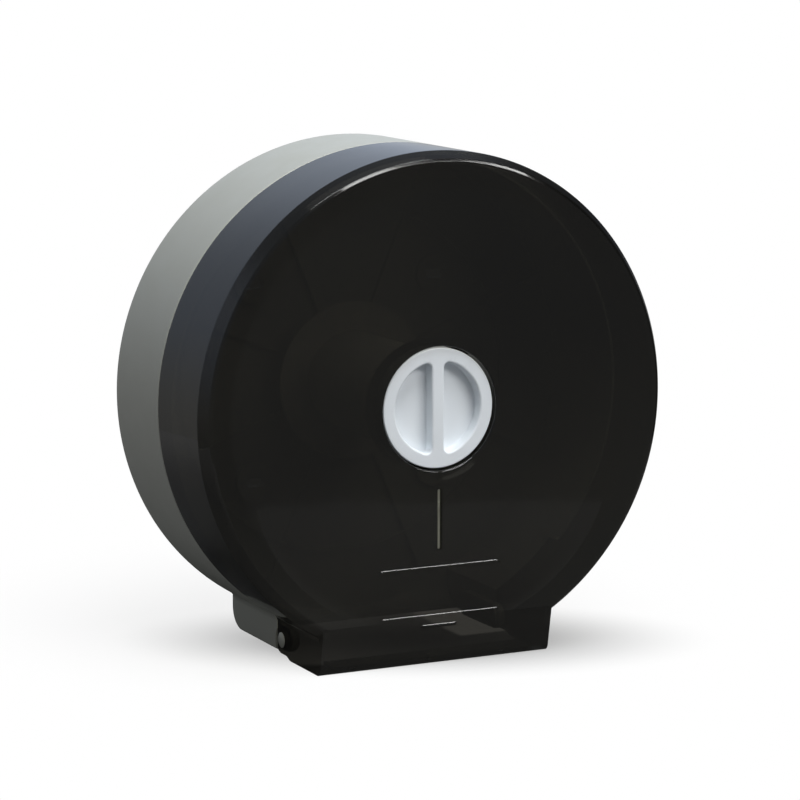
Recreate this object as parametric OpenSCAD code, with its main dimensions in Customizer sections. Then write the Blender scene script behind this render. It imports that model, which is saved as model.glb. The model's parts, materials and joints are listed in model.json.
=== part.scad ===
// Jumbo toilet roll dispenser: a round wall case whose smoked cover is hinged at the foot
// and locked by a knob on the roll's axis.
// The wall is the plane y = 0, the front faces -Y, and the origin is on the wall at the roll's axis.
// Each piece is drawn in the wall's own frame: x to the right, y up, z out of the wall.

/* [Case] */
// Radius of the round case
case_r = 135; // [125:1:150]
// Depth of the grey shell, from the wall to the seam
shell_depth = 62; // [56:1:80]
// Depth of the cover, from the seam to the crest of its rim
cover_depth = 61.2; // [58:0.2:75]
// Wall thickness of the shell
shell_wall = 2.5; // [2:0.1:3.5]
// Wall thickness of the cover
cover_wall = 2.4; // [2:0.1:3]
// Gap between the edges of the shell and the cover
seam_gap = 0.4; // [0.3:0.1:1]
// Rounding of the shell's edge at the wall
back_round = 4; // [2:0.5:8]

/* [Cover rim] */
// How far the crest of the rim lies inside the case radius
rim_inset = 4.2; // [3:0.1:6]
// Depth of the bevel from the side wall to the crest
rim_depth = 7; // [4:0.5:10]
// Width of the crest and its inner slope
rim_land = 2.4; // [2:0.1:4]
// How far the flat face lies below the crest
face_sink = 1.4; // [0.8:0.1:2]

/* [Shell lip] */
// Length of the lip that reaches into the cover
lip_reach = 12; // [8:0.5:13]
// Thickness of the lip
lip_wall = 1.8; // [1.4:0.1:2.4]
// Gap between the lip and the inside of the cover
lip_gap = 0.5; // [0.4:0.1:0.8]
// Height of the lip's two ends above the fold
lip_end_rise = 24; // [22:1:50]

/* [Foot] */
// Width of the foot
foot_w = 135; // [120:1:150]
// How far the cover's foot reaches below the round case
foot_reach = 3; // [2:0.5:12]
// How much shorter the shell's foot is
shell_foot_short = 2.3; // [2:0.1:4]
// Height of the foot's front, from its underside to the fold where the flat face begins
fold_rise = 26; // [20:0.5:27]
// Lean of the foot's front from the vertical, in degrees
foot_lean = 10.6; // [0:0.2:14]
// Radius of the hollow corner between the round case and the foot
foot_fillet = 6; // [3:0.5:10]
// Rounding of the foot's upright edges
foot_edge_r = 2.5; // [1:0.5:4]
// Rounding of the lower front edge
foot_toe_r = 4; // [3:0.5:6]
// Rounding of the shell's lower rear corner
foot_heel_r = 12; // [6:1:16]
// Depth of the floor that turns in from the lower front edge
toe_floor = 14; // [10:0.5:18]

/* [Hinge] */
// Radius of the hinge pins
pin_r = 4.2; // [3.5:0.1:4.4]
// Distance of the pins in front of the seam
pin_front = 5.4; // [5.2:0.1:7]
// Height of the pins above the shell's underside
pin_up = 6.8; // [6.2:0.1:9]
// Thickness of the shell's tabs that carry the pins
tab_t = 4; // [3:0.5:6]
// Gap between a tab and the ear outside it
tab_gap = 0.7; // [0.5:0.1:1.2]
// Height of a pin's domed end
pin_dome = 1.2; // [0.8:0.1:2]
// Radius of a pin's inner head
pin_head_r = 5.6; // [5:0.1:6]
// Thickness of a pin's inner head
pin_head_t = 1.5; // [1:0.1:2.5]
// Radius of the ear's lower rear corner about the pin
knuckle_r = 7.3; // [7:0.1:8]

/* [Lock knob] */
// Radius of the knob
knob_r = 32; // [28:0.5:34]
// Height of the knob
knob_h = 11.6; // [10.5:0.1:14]
// How far the knob lies below the flat face
knob_sink = 2.2; // [0.5:0.1:4]
// Gap between the knob and the wall of its pocket
knob_gap = 1; // [0.6:0.1:2]
// Rounding of the pocket's mouth
mouth_round = 3.6; // [2:0.1:5]
// Rounding of the knob's front edge
knob_edge_r = 1.2; // [0.6:0.1:2]
// Width of the grip bar
grip_w = 7; // [6:0.1:10]
// Width of the ring around the finger hollows
grip_ring = 7; // [5:0.1:9]
// Depth of the finger hollows
hollow_depth = 8.8; // [6:0.1:9.2]
// Radius of the corners of the finger hollows
hollow_corner_r = 3; // [2.5:0.1:4]
// Radius of the knob's shaft in the cover
shaft_r = 8; // [6.5:0.1:9]
// Length of the bearing boss behind the pocket's floor
bush_len = 1.4; // [1:0.1:3]
// Thickness of the washers and the clip
washer_t = 1; // [0.8:0.1:1.5]
// Width of the friction washer's ring
friction_w = 7.8; // [4:0.1:12]

/* [Lock cam] */
// Radius of the neck between the shaft and the cam
neck_r = 5; // [4.5:0.1:5.4]
// Reach of the cam's two ears from the axis
cam_r = 9; // [8.5:0.1:9.4]
// Width of the cam
cam_w = 9; // [8:0.1:10]
// Thickness of the cam
cam_t = 4; // [3:0.5:6]
// Gap between the cam and the keeper
cam_play = 1.5; // [1:0.1:3]
// Distance from the keeper to the back of the pocket's floor
keeper_room = 11; // [8:0.5:14]
// Thickness of the keeper
keeper_t = 3.5; // [3:0.5:5]
// Radius of the keeper
keeper_r = 21; // [20.5:0.5:24]
// Length of the keeper's slot above the axis
keeper_up = 9.6; // [9.5:0.1:10]
// Length of the keeper's slot below the axis, which lets the cam follow the cover's swing
keeper_down = 12.6; // [12.2:0.1:13]
// Width of the keeper's slot
keeper_slot_w = 11.4; // [11:0.1:12]
// Length of the keeper's screws
keeper_screw_len = 12; // [8:0.5:20]

/* [Spindle and hub] */
// Outer radius of the spindle
post_r = 17; // [16.5:0.1:18]
// Bore of the spindle, in which the cam turns
post_bore_r = 11; // [10.8:0.1:11.2]
// Radius of the spindle's flange
post_flange_r = 28; // [27:0.5:32]
// Thickness of the spindle's flange
post_flange_t = 3; // [2.5:0.5:5]
// Height of the shell's boss behind the flange
boss_h = 3.5; // [2.5:0.5:6]
// Radius of the drum that the roll's core sits on
drum_r = 27.5; // [26:0.5:30]
// Wall thickness of the hub
hub_wall = 2; // [1.6:0.1:3]
// Thickness of the hub's sleeve
sleeve_wall = 2.5; // [2:0.1:3]
// Radius of the hub's flange
hub_flange_r = 44; // [38:1:50]
// Thickness of the hub's flange
hub_flange_t = 2.2; // [1.8:0.1:3]
// Number of webs in the hub
web_count = 6; // [4:1:10]
// Length of the taper at the front of the drum
nose_len = 4; // [2:0.5:6]

/* [Tear bar] */
// Length of the tear bar
tear_len = 116; // [90:1:117]
// Thickness of the tear bar
tear_t = 0.8; // [0.6:0.1:1.2]
// Width of the tear bar from its front edge to the roots of its teeth
tear_w = 12; // [9:0.5:13]
// Pitch of the teeth
tooth_pitch = 4; // [2.5:0.5:6]
// Depth of the teeth
tooth_h = 3; // [2:0.5:4]

/* [Face details] */
// Width of the sight slot
sight_w = 2.2; // [1.6:0.1:3]
// Length of the sight slot
sight_len = 32; // [24:1:34]
// Drop of the sight slot's upper end below the axis
sight_top = 43; // [41:0.5:46]
// Depth of the mark between the pocket and the slot
mark_depth = 0.5; // [0.3:0.1:0.8]
// Width of the raised plain panel
panel_w = 72; // [60:1:90]
// Height of the raised plain panel
panel_h = 26; // [20:1:27]
// Gap between the panel and the fold below it
panel_gap = 2.2; // [1:0.1:4]
// How far the panel stands out
panel_raise = 0.8; // [0.4:0.1:1]
// Corner radius of the panel
panel_corner_r = 3; // [1:0.5:5]
// Length of the short bar on the foot
bar_len = 20; // [10:1:40]
// Height of the short bar on the foot
bar_h = 1.4; // [1:0.1:3]
// Drop of the short bar below the fold
bar_drop = 4.3; // [3:0.1:8]

/* [Wall fixing] */
// Distance between the wall slots, across and upright
fixing_span = 110; // [90:1:120]
// Width of a wall slot
fixing_w = 5; // [4:0.5:6]
// Length of a wall slot
fixing_len = 11; // [8:0.5:16]

/* [Ribs] */
// Height of the ribs on the back wall
rib_h = 3; // [2:0.5:4]
// Thickness of the ribs
rib_t = 1.8; // [1.4:0.1:2.4]
// Number of radial ribs
rib_count = 8; // [8:8:16]
// Radius of the ring rib
ring_rib_r = 98; // [94:1:110]

/* [Fits] */
// Running gap between a shaft and its bore
run_gap = 0.05; // [0.02:0.01:0.08]
// Play along the hub's axis
end_play = 0.1; // [0.05:0.05:0.3]

/* [Hidden] */
$fn = 96;
past = 1;
round_steps = 5;

// Colours, as the photograph shows them
grey = [0.55, 0.56, 0.52];
smoke = [0.12, 0.12, 0.12];
white = [0.85, 0.87, 0.89];
natural = [0.9, 0.88, 0.82];
steel = [0.75, 0.76, 0.78];

// Depths, measured out of the wall
cover_z = shell_depth + seam_gap;
crest_z = shell_depth + cover_depth;
face_z = crest_z - face_sink;
knob_top = face_z - knob_sink;
knob_base = knob_top - knob_h;
pocket_floor = knob_base - washer_t;
pocket_back = pocket_floor - cover_wall;
bush_back = pocket_back - bush_len;
clip_play = 0.1;
clip_z = bush_back - clip_play - washer_t;
shaft_tail = 1.4;
shaft_end = clip_z - shaft_tail;
keeper_front = pocket_back - keeper_room;
keeper_back = keeper_front - keeper_t;
cam_front = keeper_back - cam_play;
cam_back = cam_front - cam_t;
boss_top = shell_wall + boss_h;
flange_top = boss_top + post_flange_t;

// Radii that follow the ones above
crest_r = case_r - rim_inset;
face_r = crest_r - rim_land;
lip_r = case_r - cover_wall - lip_gap;
pocket_r = knob_r + knob_gap;
mouth_r = pocket_r + mouth_round;
sleeve_r = post_r + run_gap + sleeve_wall;

// The foot and its hinge
foot_x = foot_w / 2;
foot_drop = case_r + foot_reach;
fold_drop = foot_drop - fold_rise;
lip_end_drop = fold_drop - lip_end_rise;
foot_root = 8;
cover_low = -foot_drop;
shell_low = shell_foot_short - foot_drop;
fold_y = -fold_drop;
toe_z = face_z - (foot_drop - fold_drop) * tan(foot_lean);
pin_y = shell_low + pin_up;
pin_z = shell_depth + pin_front;
ear_in = foot_x - cover_wall;
tab_out = ear_in - tab_gap;
tab_in = tab_out - tab_t;
relief_gap = 0.35;
relief_r = knuckle_r + relief_gap;
tab_root = 30;

// Screws: head radius, head height and shank radius
post_screw = [3, 2.2, 1.5];
keeper_screw = [2.6, 1.8, 1.25];
cam_screw_size = [4, 2.4, 1.6];
post_screw_ring = 23;
keeper_screw_x = (post_r + post_bore_r) / 2;
hub_back = flange_top + washer_t + end_play;
hub_front = keeper_back - washer_t - end_play;
hub_flange_z = flange_top + post_screw[1] + 1.3;
drum_front = hub_front - 3;

// ---- helpers ----

function unit(v) = v / norm(v);

// Points that round the corner b between a and c with radius r
function rounded(a, b, c, r) =
    let (u = unit(a - b),
         v = unit(c - b),
         half = acos(u * v) / 2,
         o = b + unit(u + v) * r / sin(half),
         p = b + u * r / tan(half),
         q = b + v * r / tan(half),
         from = atan2(p.y - o.y, p.x - o.x),
         turn = atan2(q.y - o.y, q.x - o.x) - from,
         sweep = turn > 180 ? turn - 360 : turn < -180 ? turn + 360 : turn)
    [for (i = [0:round_steps]) o + r * [cos(from + sweep * i / round_steps),
                                        sin(from + sweep * i / round_steps)]];

// Closed outline from corners given as [x, y, radius]
function outline(c) =
    [for (i = [0:len(c) - 1])
        let (a = c[(i + len(c) - 1) % len(c)], b = c[i], d = c[(i + 1) % len(c)])
        each (b.z > 0 ? rounded([a.x, a.y], [b.x, b.y], [d.x, d.y], b.z) : [[b.x, b.y]])];

// The wall's own frame: x to the right, y up, z out of the wall
module on_wall() rotate([90, 0, 0]) children();

// A side profile, drawn as [depth, height], pulled across the object
module across(width) rotate([0, -90, 0]) linear_extrude(width, center = true) children();

// A flat ring from z to z + t
module ring(r_out, r_in, z, t) {
    translate([0, 0, z]) difference() {
        cylinder(r = r_out, h = t);
        translate([0, 0, -past]) cylinder(r = r_in, h = t + 2 * past);
    }
}

// A pan-head screw whose head stands on z = 0 and whose shank goes down
module pan_screw(size, length) {
    rotate_extrude() polygon(outline([
        [0, -length, 0],
        [size[2], -length, 0],
        [size[2], 0, 0],
        [size[0], 0, 0],
        [size[0], size[1], size[1] * 0.45],
        [0, size[1], 0]]));
}

// The slot of a flat-blade screw is left to the looks: the head's socket is a plain hollow
module screw_socket(size) {
    translate([0, 0, size[1] / 2]) cylinder(r = size[0] * 0.42, h = size[1]);
}

module fastener(size, length) {
    difference() {
        pan_screw(size, length);
        screw_socket(size);
    }
}

// ---- shell ----

// Hollow corners between the round case and the foot, from z0 to z1.
// The corner's circle bites a little into both walls, so that it crosses them instead of only touching.
module foot_corners(z0, z1) {
    bite = 0.02;
    reach = foot_fillet - bite;
    centre = [foot_x + reach,
              -sqrt(pow(case_r + reach, 2) - pow(foot_x + reach, 2))];
    touch = centre * case_r / (case_r + reach);
    for (side = [0, 1]) mirror([side, 0, 0]) translate([0, 0, z0]) linear_extrude(z1 - z0) difference() {
        polygon([[foot_x - past, centre.y], [foot_x - past, touch.y + past], touch, centre]);
        translate(centre) circle(foot_fillet);
    }
}

// Plan of the foot, rounded at the rear or front upright edges, pulled down from the case
module foot_plan(z0, z1, r_back, r_front, half) {
    rotate([90, 0, 0]) linear_extrude(case_r + foot_drop) polygon(outline([
        [-half, z0, r_back],
        [half, z0, r_back],
        [half, z1, r_front],
        [-half, z1, r_front]]));
}

// The outline is drawn with the case radius, so that shell and cover share it
module shell_outer() {
    rotate_extrude($fn = 192) polygon(outline([
        [0, 0, 0],
        [case_r, 0, back_round],
        [case_r, shell_depth, 0],
        [0, shell_depth, 0]]));
    intersection() {
        across(foot_w) polygon(outline([
            [0, fold_y, 0],
            [0, shell_low, foot_heel_r],
            [shell_depth, shell_low, 0],
            [shell_depth, fold_y, 0]]));
        foot_plan(0, shell_depth + past, foot_edge_r, 0, foot_x);
    }
    foot_corners(back_round, shell_depth);
}

module shell_inner() {
    translate([0, 0, shell_wall]) cylinder(r = case_r - shell_wall, h = shell_depth, $fn = 192);
    across(foot_w - 2 * shell_wall) polygon(outline([
        [shell_wall, -case_r / 2, 0],
        [shell_wall, shell_low + shell_wall, foot_heel_r - shell_wall],
        [foot_heel_r + shell_wall, shell_low + shell_wall, 0],
        [foot_heel_r + shell_wall, shell_low - past, 0],
        [shell_depth + past, shell_low - past, 0],
        [shell_depth + past, -case_r / 2, 0]]));
}

// Lip that the cover closes over; it stops above the foot, where the cover swings
module lip() {
    root = 5;
    difference() {
        rotate_extrude($fn = 192) polygon([
            [lip_r - lip_wall, shell_depth - root],
            [case_r - shell_wall + 0.4, shell_depth - root - shell_wall],
            [case_r - shell_wall + 0.4, shell_depth],
            [lip_r, shell_depth],
            [lip_r, shell_depth + lip_reach],
            [lip_r - lip_wall, shell_depth + lip_reach]]);
        translate([-case_r, -2 * case_r, 0]) cube([2 * case_r, 2 * case_r - lip_end_drop, 2 * shell_depth]);
    }
}

module back_ribs() {
    translate([0, 0, shell_wall - rib_t / 2]) {
        for (i = [0:rib_count - 1]) rotate([0, 0, (i + 0.5) * 360 / rib_count])
            translate([post_flange_r, -rib_t / 2, 0])
                cube([case_r - shell_wall / 2 - post_flange_r, rib_t, rib_h + rib_t / 2]);
    }
    ring(ring_rib_r + rib_t / 2, ring_rib_r - rib_t / 2, shell_wall - rib_t / 2, rib_h + rib_t / 2);
}

// The ribs that would cross the foot's mouth stop short of it
module foot_mouth() {
    translate([-foot_x + shell_wall, -2 * case_r, shell_wall])
        cube([foot_w - 2 * shell_wall, 2 * case_r - fold_drop, shell_depth]);
}

module fixing_places() {
    for (x = [-1, 1], y = [-1, 1]) translate([x * fixing_span / 2, y * fixing_span / 2, 0]) children();
}

module fixing_slot(z0, height) {
    run = (fixing_len - fixing_w) / 2;
    translate([-run, -fixing_w / 2, z0]) cube([2 * run, fixing_w, height]);
    for (side = [-1, 1]) translate([side * run, 0, z0]) cylinder(r = fixing_w / 2, h = height);
}

// Tab that carries a hinge pin, on the right-hand side
module hinge_tab() {
    translate([(tab_in + tab_out) / 2, 0, 0]) across(tab_t) {
        translate([tab_root, shell_low]) square([pin_z - tab_root, 2 * pin_up]);
        translate([pin_z, pin_y]) circle(pin_up);
    }
    root_out = foot_x - shell_wall / 2;
    translate([tab_in, shell_low, tab_root])
        cube([root_out - tab_in, 2 * pin_up, shell_depth - relief_r - tab_root + pin_front - 2]);
}

// Room in the shell's side wall for the ear's corner to swing through
module ear_relief() {
    translate([(ear_in + foot_x) / 2 + 0.15, 0, 0]) across(foot_x - ear_in + 0.7) {
        translate([pin_z, pin_y]) circle(relief_r);
        translate([pin_z - relief_r, cover_low - past]) square([2 * relief_r, pin_y - cover_low + past]);
    }
}

module pin_bore(r, x0, x1) {
    translate([x0, pin_y, pin_z]) rotate([0, 90, 0]) cylinder(r = r, h = x1 - x0);
}

module post_screw_places(z) {
    for (i = [0:3]) rotate([0, 0, 90 * i]) translate([post_screw_ring, 0, z]) children();
}

module back_shell() {
    color(grey) on_wall() difference() {
        union() {
            difference() {
                shell_outer();
                shell_inner();
            }
            lip();
            difference() {
                union() {
                    back_ribs();
                    cylinder(r = post_flange_r + 3, h = boss_top);
                    fixing_places() cylinder(r = fixing_len, h = shell_wall + rib_h);
                }
                foot_mouth();
            }
            for (side = [0, 1]) mirror([side, 0, 0]) hinge_tab();
        }
        for (side = [0, 1]) mirror([side, 0, 0]) {
            ear_relief();
            pin_bore(pin_r + run_gap, tab_in - past, tab_out + past);
        }
        fixing_places() fixing_slot(-past, shell_wall + rib_h + 2 * past);
        post_screw_places(1) cylinder(r = post_screw[2], h = boss_top);
    }
}

module hinge_pin() {
    inner = tab_in - pin_head_t;
    dome_r = (pin_r * pin_r + pin_dome * pin_dome) / (2 * pin_dome);
    dome_a = asin(pin_r / dome_r);
    on_wall() translate([0, pin_y, pin_z]) rotate([0, 90, 0]) rotate_extrude() polygon(concat(
        [[0, inner], [pin_head_r, inner], [pin_head_r, tab_in], [pin_r, tab_in]],
        [for (i = [0:round_steps]) let (a = dome_a * (1 - i / round_steps))
            [dome_r * sin(a), foot_x + pin_dome - dome_r + dome_r * cos(a)]]));
}

module hinge_pin_right() {
    color(grey) hinge_pin();
}

module hinge_pin_left() {
    color(grey) mirror([1, 0, 0]) hinge_pin();
}

// ---- cover ----

// Side profile in front of the fold: everything that lies behind the leaning front, inset by d
module front_envelope(d) {
    across(4 * case_r) polygon([
        [0, 2 * case_r],
        [2 * crest_z, 2 * case_r],
        [2 * crest_z, fold_y],
        [face_z - d, fold_y],
        [face_z - d - case_r * tan(foot_lean), fold_y - case_r],
        [0, fold_y - case_r]]);
}

module cover_outer() {
    intersection() {
        rotate_extrude($fn = 192) polygon(outline([
            [0, cover_z, 0],
            [case_r, cover_z, 0],
            [case_r, crest_z - rim_depth, 1.5],
            [crest_r, crest_z, 0.8],
            [crest_r - rim_land * 0.4, crest_z, 0.4],
            [face_r, face_z, 0.8],
            [0, face_z, 0]]));
        front_envelope(0);
    }
    foot_corners(cover_z, crest_z - rim_depth);
    intersection() {
        across(foot_w) ear_profile();
        foot_lean_plan(foot_x, face_z);
    }
}

// Side profile of the cover's foot, with the ear's lower corner rounded about the pin
module ear_profile() {
    low = pin_y - cover_low;
    difference() {
        polygon(outline([
            [cover_z, fold_y + foot_root, 0],
            [face_z, fold_y + foot_root, 0],
            [face_z, fold_y, 0],
            [toe_z, cover_low, foot_toe_r],
            [pin_z + knuckle_r + low - knuckle_r + 2, cover_low, 3],
            [pin_z + knuckle_r * 0.9, pin_y - knuckle_r, 3],
            [cover_z, pin_y - knuckle_r, 0]]));
        difference() {
            translate([cover_z - past, pin_y - 2 * knuckle_r]) square([pin_front - seam_gap + past, 2 * knuckle_r]);
            translate([pin_z, pin_y]) circle(knuckle_r);
        }
    }
}

// Plan of the cover's foot, pulled down along the leaning front so that its upright edges stay round.
// It stands edge_ease in front of the leaning face, so that it trims the edges alone.
module foot_lean_plan(half, front) {
    edge_ease = 0.3;
    translate([0, fold_y, front]) rotate([foot_lean, 0, 0]) translate([0, case_r, 0]) rotate([90, 0, 0])
        linear_extrude(2 * case_r) polygon(outline([
            [-half, -2 * cover_depth, 0],
            [half, -2 * cover_depth, 0],
            [half, edge_ease, foot_edge_r],
            [-half, edge_ease, foot_edge_r]]));
}

module cover_inner() {
    intersection() {
        rotate_extrude($fn = 192) polygon(outline([
            [0, cover_z - past, 0],
            [case_r - cover_wall, cover_z - past, 0],
            [case_r - cover_wall, crest_z - rim_depth, 1],
            [crest_r - cover_wall, face_z - cover_wall, 0.6],
            [0, face_z - cover_wall, 0]]));
        front_envelope(cover_wall);
    }
    floor_y = cover_low + cover_wall;
    inner_toe = toe_z - cover_wall + cover_wall * tan(foot_lean);
    across(2 * ear_in) polygon(outline([
        [cover_z - past, fold_y + 1.5 * foot_root, 0],
        [face_z - cover_wall, fold_y + 1.5 * foot_root, 0],
        [face_z - cover_wall, fold_y, 0],
        [inner_toe, floor_y, foot_toe_r - cover_wall],
        [toe_z - toe_floor, floor_y, 0],
        [toe_z - toe_floor, cover_low - past, 0],
        [cover_z - past, cover_low - past, 0]]));
}

// Pocket for the knob, with its floor and bearing boss
module pocket_wall() {
    rotate_extrude($fn = 144) polygon([
        [0, bush_back],
        [shaft_r + 4, bush_back],
        [shaft_r + 5, pocket_back],
        [pocket_r + cover_wall, pocket_back],
        [pocket_r + cover_wall, face_z - mouth_round - cover_wall],
        [mouth_r + cover_wall, face_z - cover_wall],
        [mouth_r + cover_wall, face_z - cover_wall / 2],
        [0, face_z - cover_wall / 2]]);
}

module pocket_hollow() {
    rotate_extrude($fn = 144) polygon(concat(
        [[0, pocket_floor], [pocket_r, pocket_floor]],
        [for (i = [0:2 * round_steps]) let (a = 180 - 90 * i / (2 * round_steps))
            [mouth_r + mouth_round * cos(a), face_z - mouth_round + mouth_round * sin(a)]],
        [[mouth_r, crest_z + past], [0, crest_z + past]]));
    translate([0, 0, bush_back - past]) cylinder(r = shaft_r + run_gap, h = 4 * cover_wall);
}

module panel() {
    low = fold_y + panel_gap;
    translate([0, 0, face_z - cover_wall / 2]) linear_extrude(cover_wall / 2 + panel_raise) polygon(outline([
        [-panel_w / 2, low, panel_corner_r],
        [panel_w / 2, low, panel_corner_r],
        [panel_w / 2, low + panel_h, panel_corner_r],
        [-panel_w / 2, low + panel_h, panel_corner_r]]));
}

module short_bar() {
    translate([0, fold_y, face_z]) rotate([foot_lean, 0, 0])
        translate([-bar_len / 2, -bar_drop - bar_h / 2, -cover_wall / 2])
            cube([bar_len, bar_h, cover_wall / 2 + panel_raise]);
}

module front_cover() {
    color(smoke) on_wall() difference() {
        union() {
            difference() {
                cover_outer();
                cover_inner();
            }
            pocket_wall();
            panel();
            short_bar();
        }
        pocket_hollow();
        translate([-sight_w / 2, -sight_top - sight_len, face_z - 2 * cover_wall])
            cube([sight_w, sight_len, 4 * cover_wall]);
        translate([-sight_w / 2, -sight_top - past, face_z - mark_depth])
            cube([sight_w, sight_top - pocket_r + past, cover_wall]);
        for (side = [0, 1]) mirror([side, 0, 0]) pin_bore(pin_r + run_gap, ear_in - past, foot_x + past);
        rivet_places() translate([0, -2 * cover_wall, 0]) rotate([-90, 0, 0])
            cylinder(r = rivet_r, h = 4 * cover_wall, $fn = 32);
    }
}

// ---- tear bar ----

rivet_r = 1.5;
rivet_head_r = 3;
rivet_head_t = 1;
tear_front = toe_z - cover_wall - 2;
tear_y = cover_low + cover_wall;

module rivet_places() {
    for (i = [-1, 0, 1]) translate([i * tear_len * 0.38, tear_y, tear_front - tear_w / 2 + 0.5]) children();
}

module tear_bar() {
    teeth = floor(tear_len / tooth_pitch);
    half = teeth * tooth_pitch / 2;
    root = tear_front - tear_w;
    color(steel) on_wall() difference() {
        translate([0, tear_y + tear_t, 0]) rotate([90, 0, 0]) linear_extrude(tear_t) polygon(concat(
            [[half, root], [half, tear_front], [-half, tear_front], [-half, root]],
            [for (i = [0:teeth - 1]) each [
                [-half + (i + 0.5) * tooth_pitch, root - tooth_h],
                [-half + (i + 1) * tooth_pitch, root]]]));
        rivet_places() translate([0, -past, 0]) rotate([-90, 0, 0])
            cylinder(r = rivet_r, h = tear_t + 2 * past, $fn = 32);
    }
}

module tear_bar_rivets() {
    color(steel) on_wall() rivet_places() translate([0, tear_t, 0]) rotate([-90, 0, 0])
        rotate_extrude($fn = 32) polygon(outline([
            [0, -tear_t - cover_wall, 0],
            [rivet_r, -tear_t - cover_wall, 0],
            [rivet_r, 0, 0],
            [rivet_head_r, 0, 0],
            [rivet_head_r, rivet_head_t, rivet_head_t * 0.8],
            [0, rivet_head_t, 0]]));
}

// ---- lock ----

// Half-moon finger hollow on the right of the grip bar, with sloping walls
module finger_hollow() {
    draft = 1.6;
    peg = hollow_corner_r;
    reach = knob_r - grip_ring - peg;
    near = grip_w / 2 + peg;
    limit = acos(near / reach);
    hull() for (i = [-6:6]) let (a = limit * i / 6)
        translate([reach * cos(a), reach * sin(a), knob_top - hollow_depth])
            cylinder(r1 = peg - draft, r2 = peg, h = hollow_depth + past / 4, $fn = 32);
}

module lock_knob() {
    groove_r = shaft_r - 1.2;
    color(white) on_wall() difference() {
        rotate_extrude($fn = 144) polygon(outline([
            [0, cam_back, 0],
            [seat_r, cam_back, 0],
            [seat_r, cam_front, 0],
            [neck_r, cam_front, 0],
            [neck_r, shaft_end, 0],
            [shaft_r, shaft_end, 0],
            [shaft_r, clip_z, 0],
            [groove_r, clip_z, 0],
            [groove_r, clip_z + washer_t + clip_play, 0],
            [shaft_r, clip_z + washer_t + clip_play, 0],
            [shaft_r, knob_base, 0],
            [knob_r, knob_base, 0.5],
            [knob_r, knob_top, knob_edge_r],
            [0, knob_top, 0]]));
        for (side = [0, 1]) mirror([side, 0, 0]) finger_hollow();
        for (side = [-1, 1]) translate([side * (flat_x + neck_r), 0, cam_back + cam_t / 2])
            cube([2 * neck_r, 2 * neck_r, cam_t + 2 * run_gap], center = true);
        translate([0, 0, cam_back - past]) cylinder(r = cam_screw_size[2], h = cam_hole + past);
    }
}

seat_r = 3.8;
flat_x = 3;
cam_hole = 14;

module friction_washer() {
    bore = shaft_r + 4 * run_gap;
    color(natural) on_wall() ring(bore + friction_w, bore, pocket_floor, washer_t);
}

// Open ring that snaps into the shaft's groove
module retaining_clip() {
    inner = shaft_r - 1.1;
    color(steel) on_wall() difference() {
        ring(shaft_r + 3, inner, clip_z, washer_t);
        translate([-inner * 0.8, -2 * shaft_r, clip_z - past]) cube([inner * 1.6, 2 * shaft_r, washer_t + 2 * past]);
    }
}

module lock_cam() {
    color(white) on_wall() translate([0, 0, cam_back]) linear_extrude(cam_t) difference() {
        intersection() {
            circle(cam_r);
            square([cam_w, 2 * cam_r + past], center = true);
        }
        intersection() {
            circle(seat_r + run_gap);
            square([2 * (flat_x + run_gap), 4 * seat_r], center = true);
        }
    }
}

module cam_washer() {
    color(steel) on_wall() ring(cam_screw_size[0] + 1, cam_screw_size[2] + 0.1, cam_back - washer_t, washer_t);
}

module cam_screw() {
    color(steel) on_wall() translate([0, 0, cam_back - washer_t]) mirror([0, 0, 1])
        fastener(cam_screw_size, cam_hole + washer_t - 1);
}

// ---- spindle and hub ----

module spindle_post() {
    color(natural) on_wall() difference() {
        union() {
            translate([0, 0, boss_top]) cylinder(r = post_flange_r, h = post_flange_t);
            translate([0, 0, boss_top]) cylinder(r = post_r, h = keeper_back - boss_top);
        }
        translate([0, 0, flange_top]) cylinder(r = post_bore_r, h = keeper_back);
        post_screw_places(0) cylinder(r = post_screw[2] + 0.1, h = keeper_back);
        keeper_screw_places(keeper_back - keeper_screw_len)
            cylinder(r = keeper_screw[2], h = keeper_screw_len + past, $fn = 32);
    }
}

module keeper_screw_places(z) {
    for (side = [-1, 1]) translate([side * keeper_screw_x, 0, z]) children();
}

module spindle_screws() {
    length = flange_top - 2;
    color(steel) on_wall() post_screw_places(flange_top) fastener(post_screw, length);
}

module keeper_cap() {
    head = keeper_screw[1];
    color(natural) on_wall() difference() {
        rotate_extrude() polygon(outline([
            [0, keeper_back, 0],
            [keeper_r, keeper_back, 0],
            [keeper_r, keeper_front, 1],
            [0, keeper_front, 0]]));
        translate([-keeper_slot_w / 2, -keeper_down, keeper_back - past])
            cube([keeper_slot_w, keeper_down + keeper_up, keeper_t + 2 * past]);
        keeper_screw_places(keeper_back - past) cylinder(r = keeper_screw[2] + 0.1, h = 2 * keeper_t, $fn = 32);
        keeper_screw_places(keeper_front - head) cylinder(r = keeper_screw[0] + 0.3, h = head + past, $fn = 48);
    }
}

module keeper_screws() {
    head = keeper_screw[1];
    color(steel) on_wall() keeper_screw_places(keeper_front - head) fastener(keeper_screw, keeper_screw_len);
}

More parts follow.
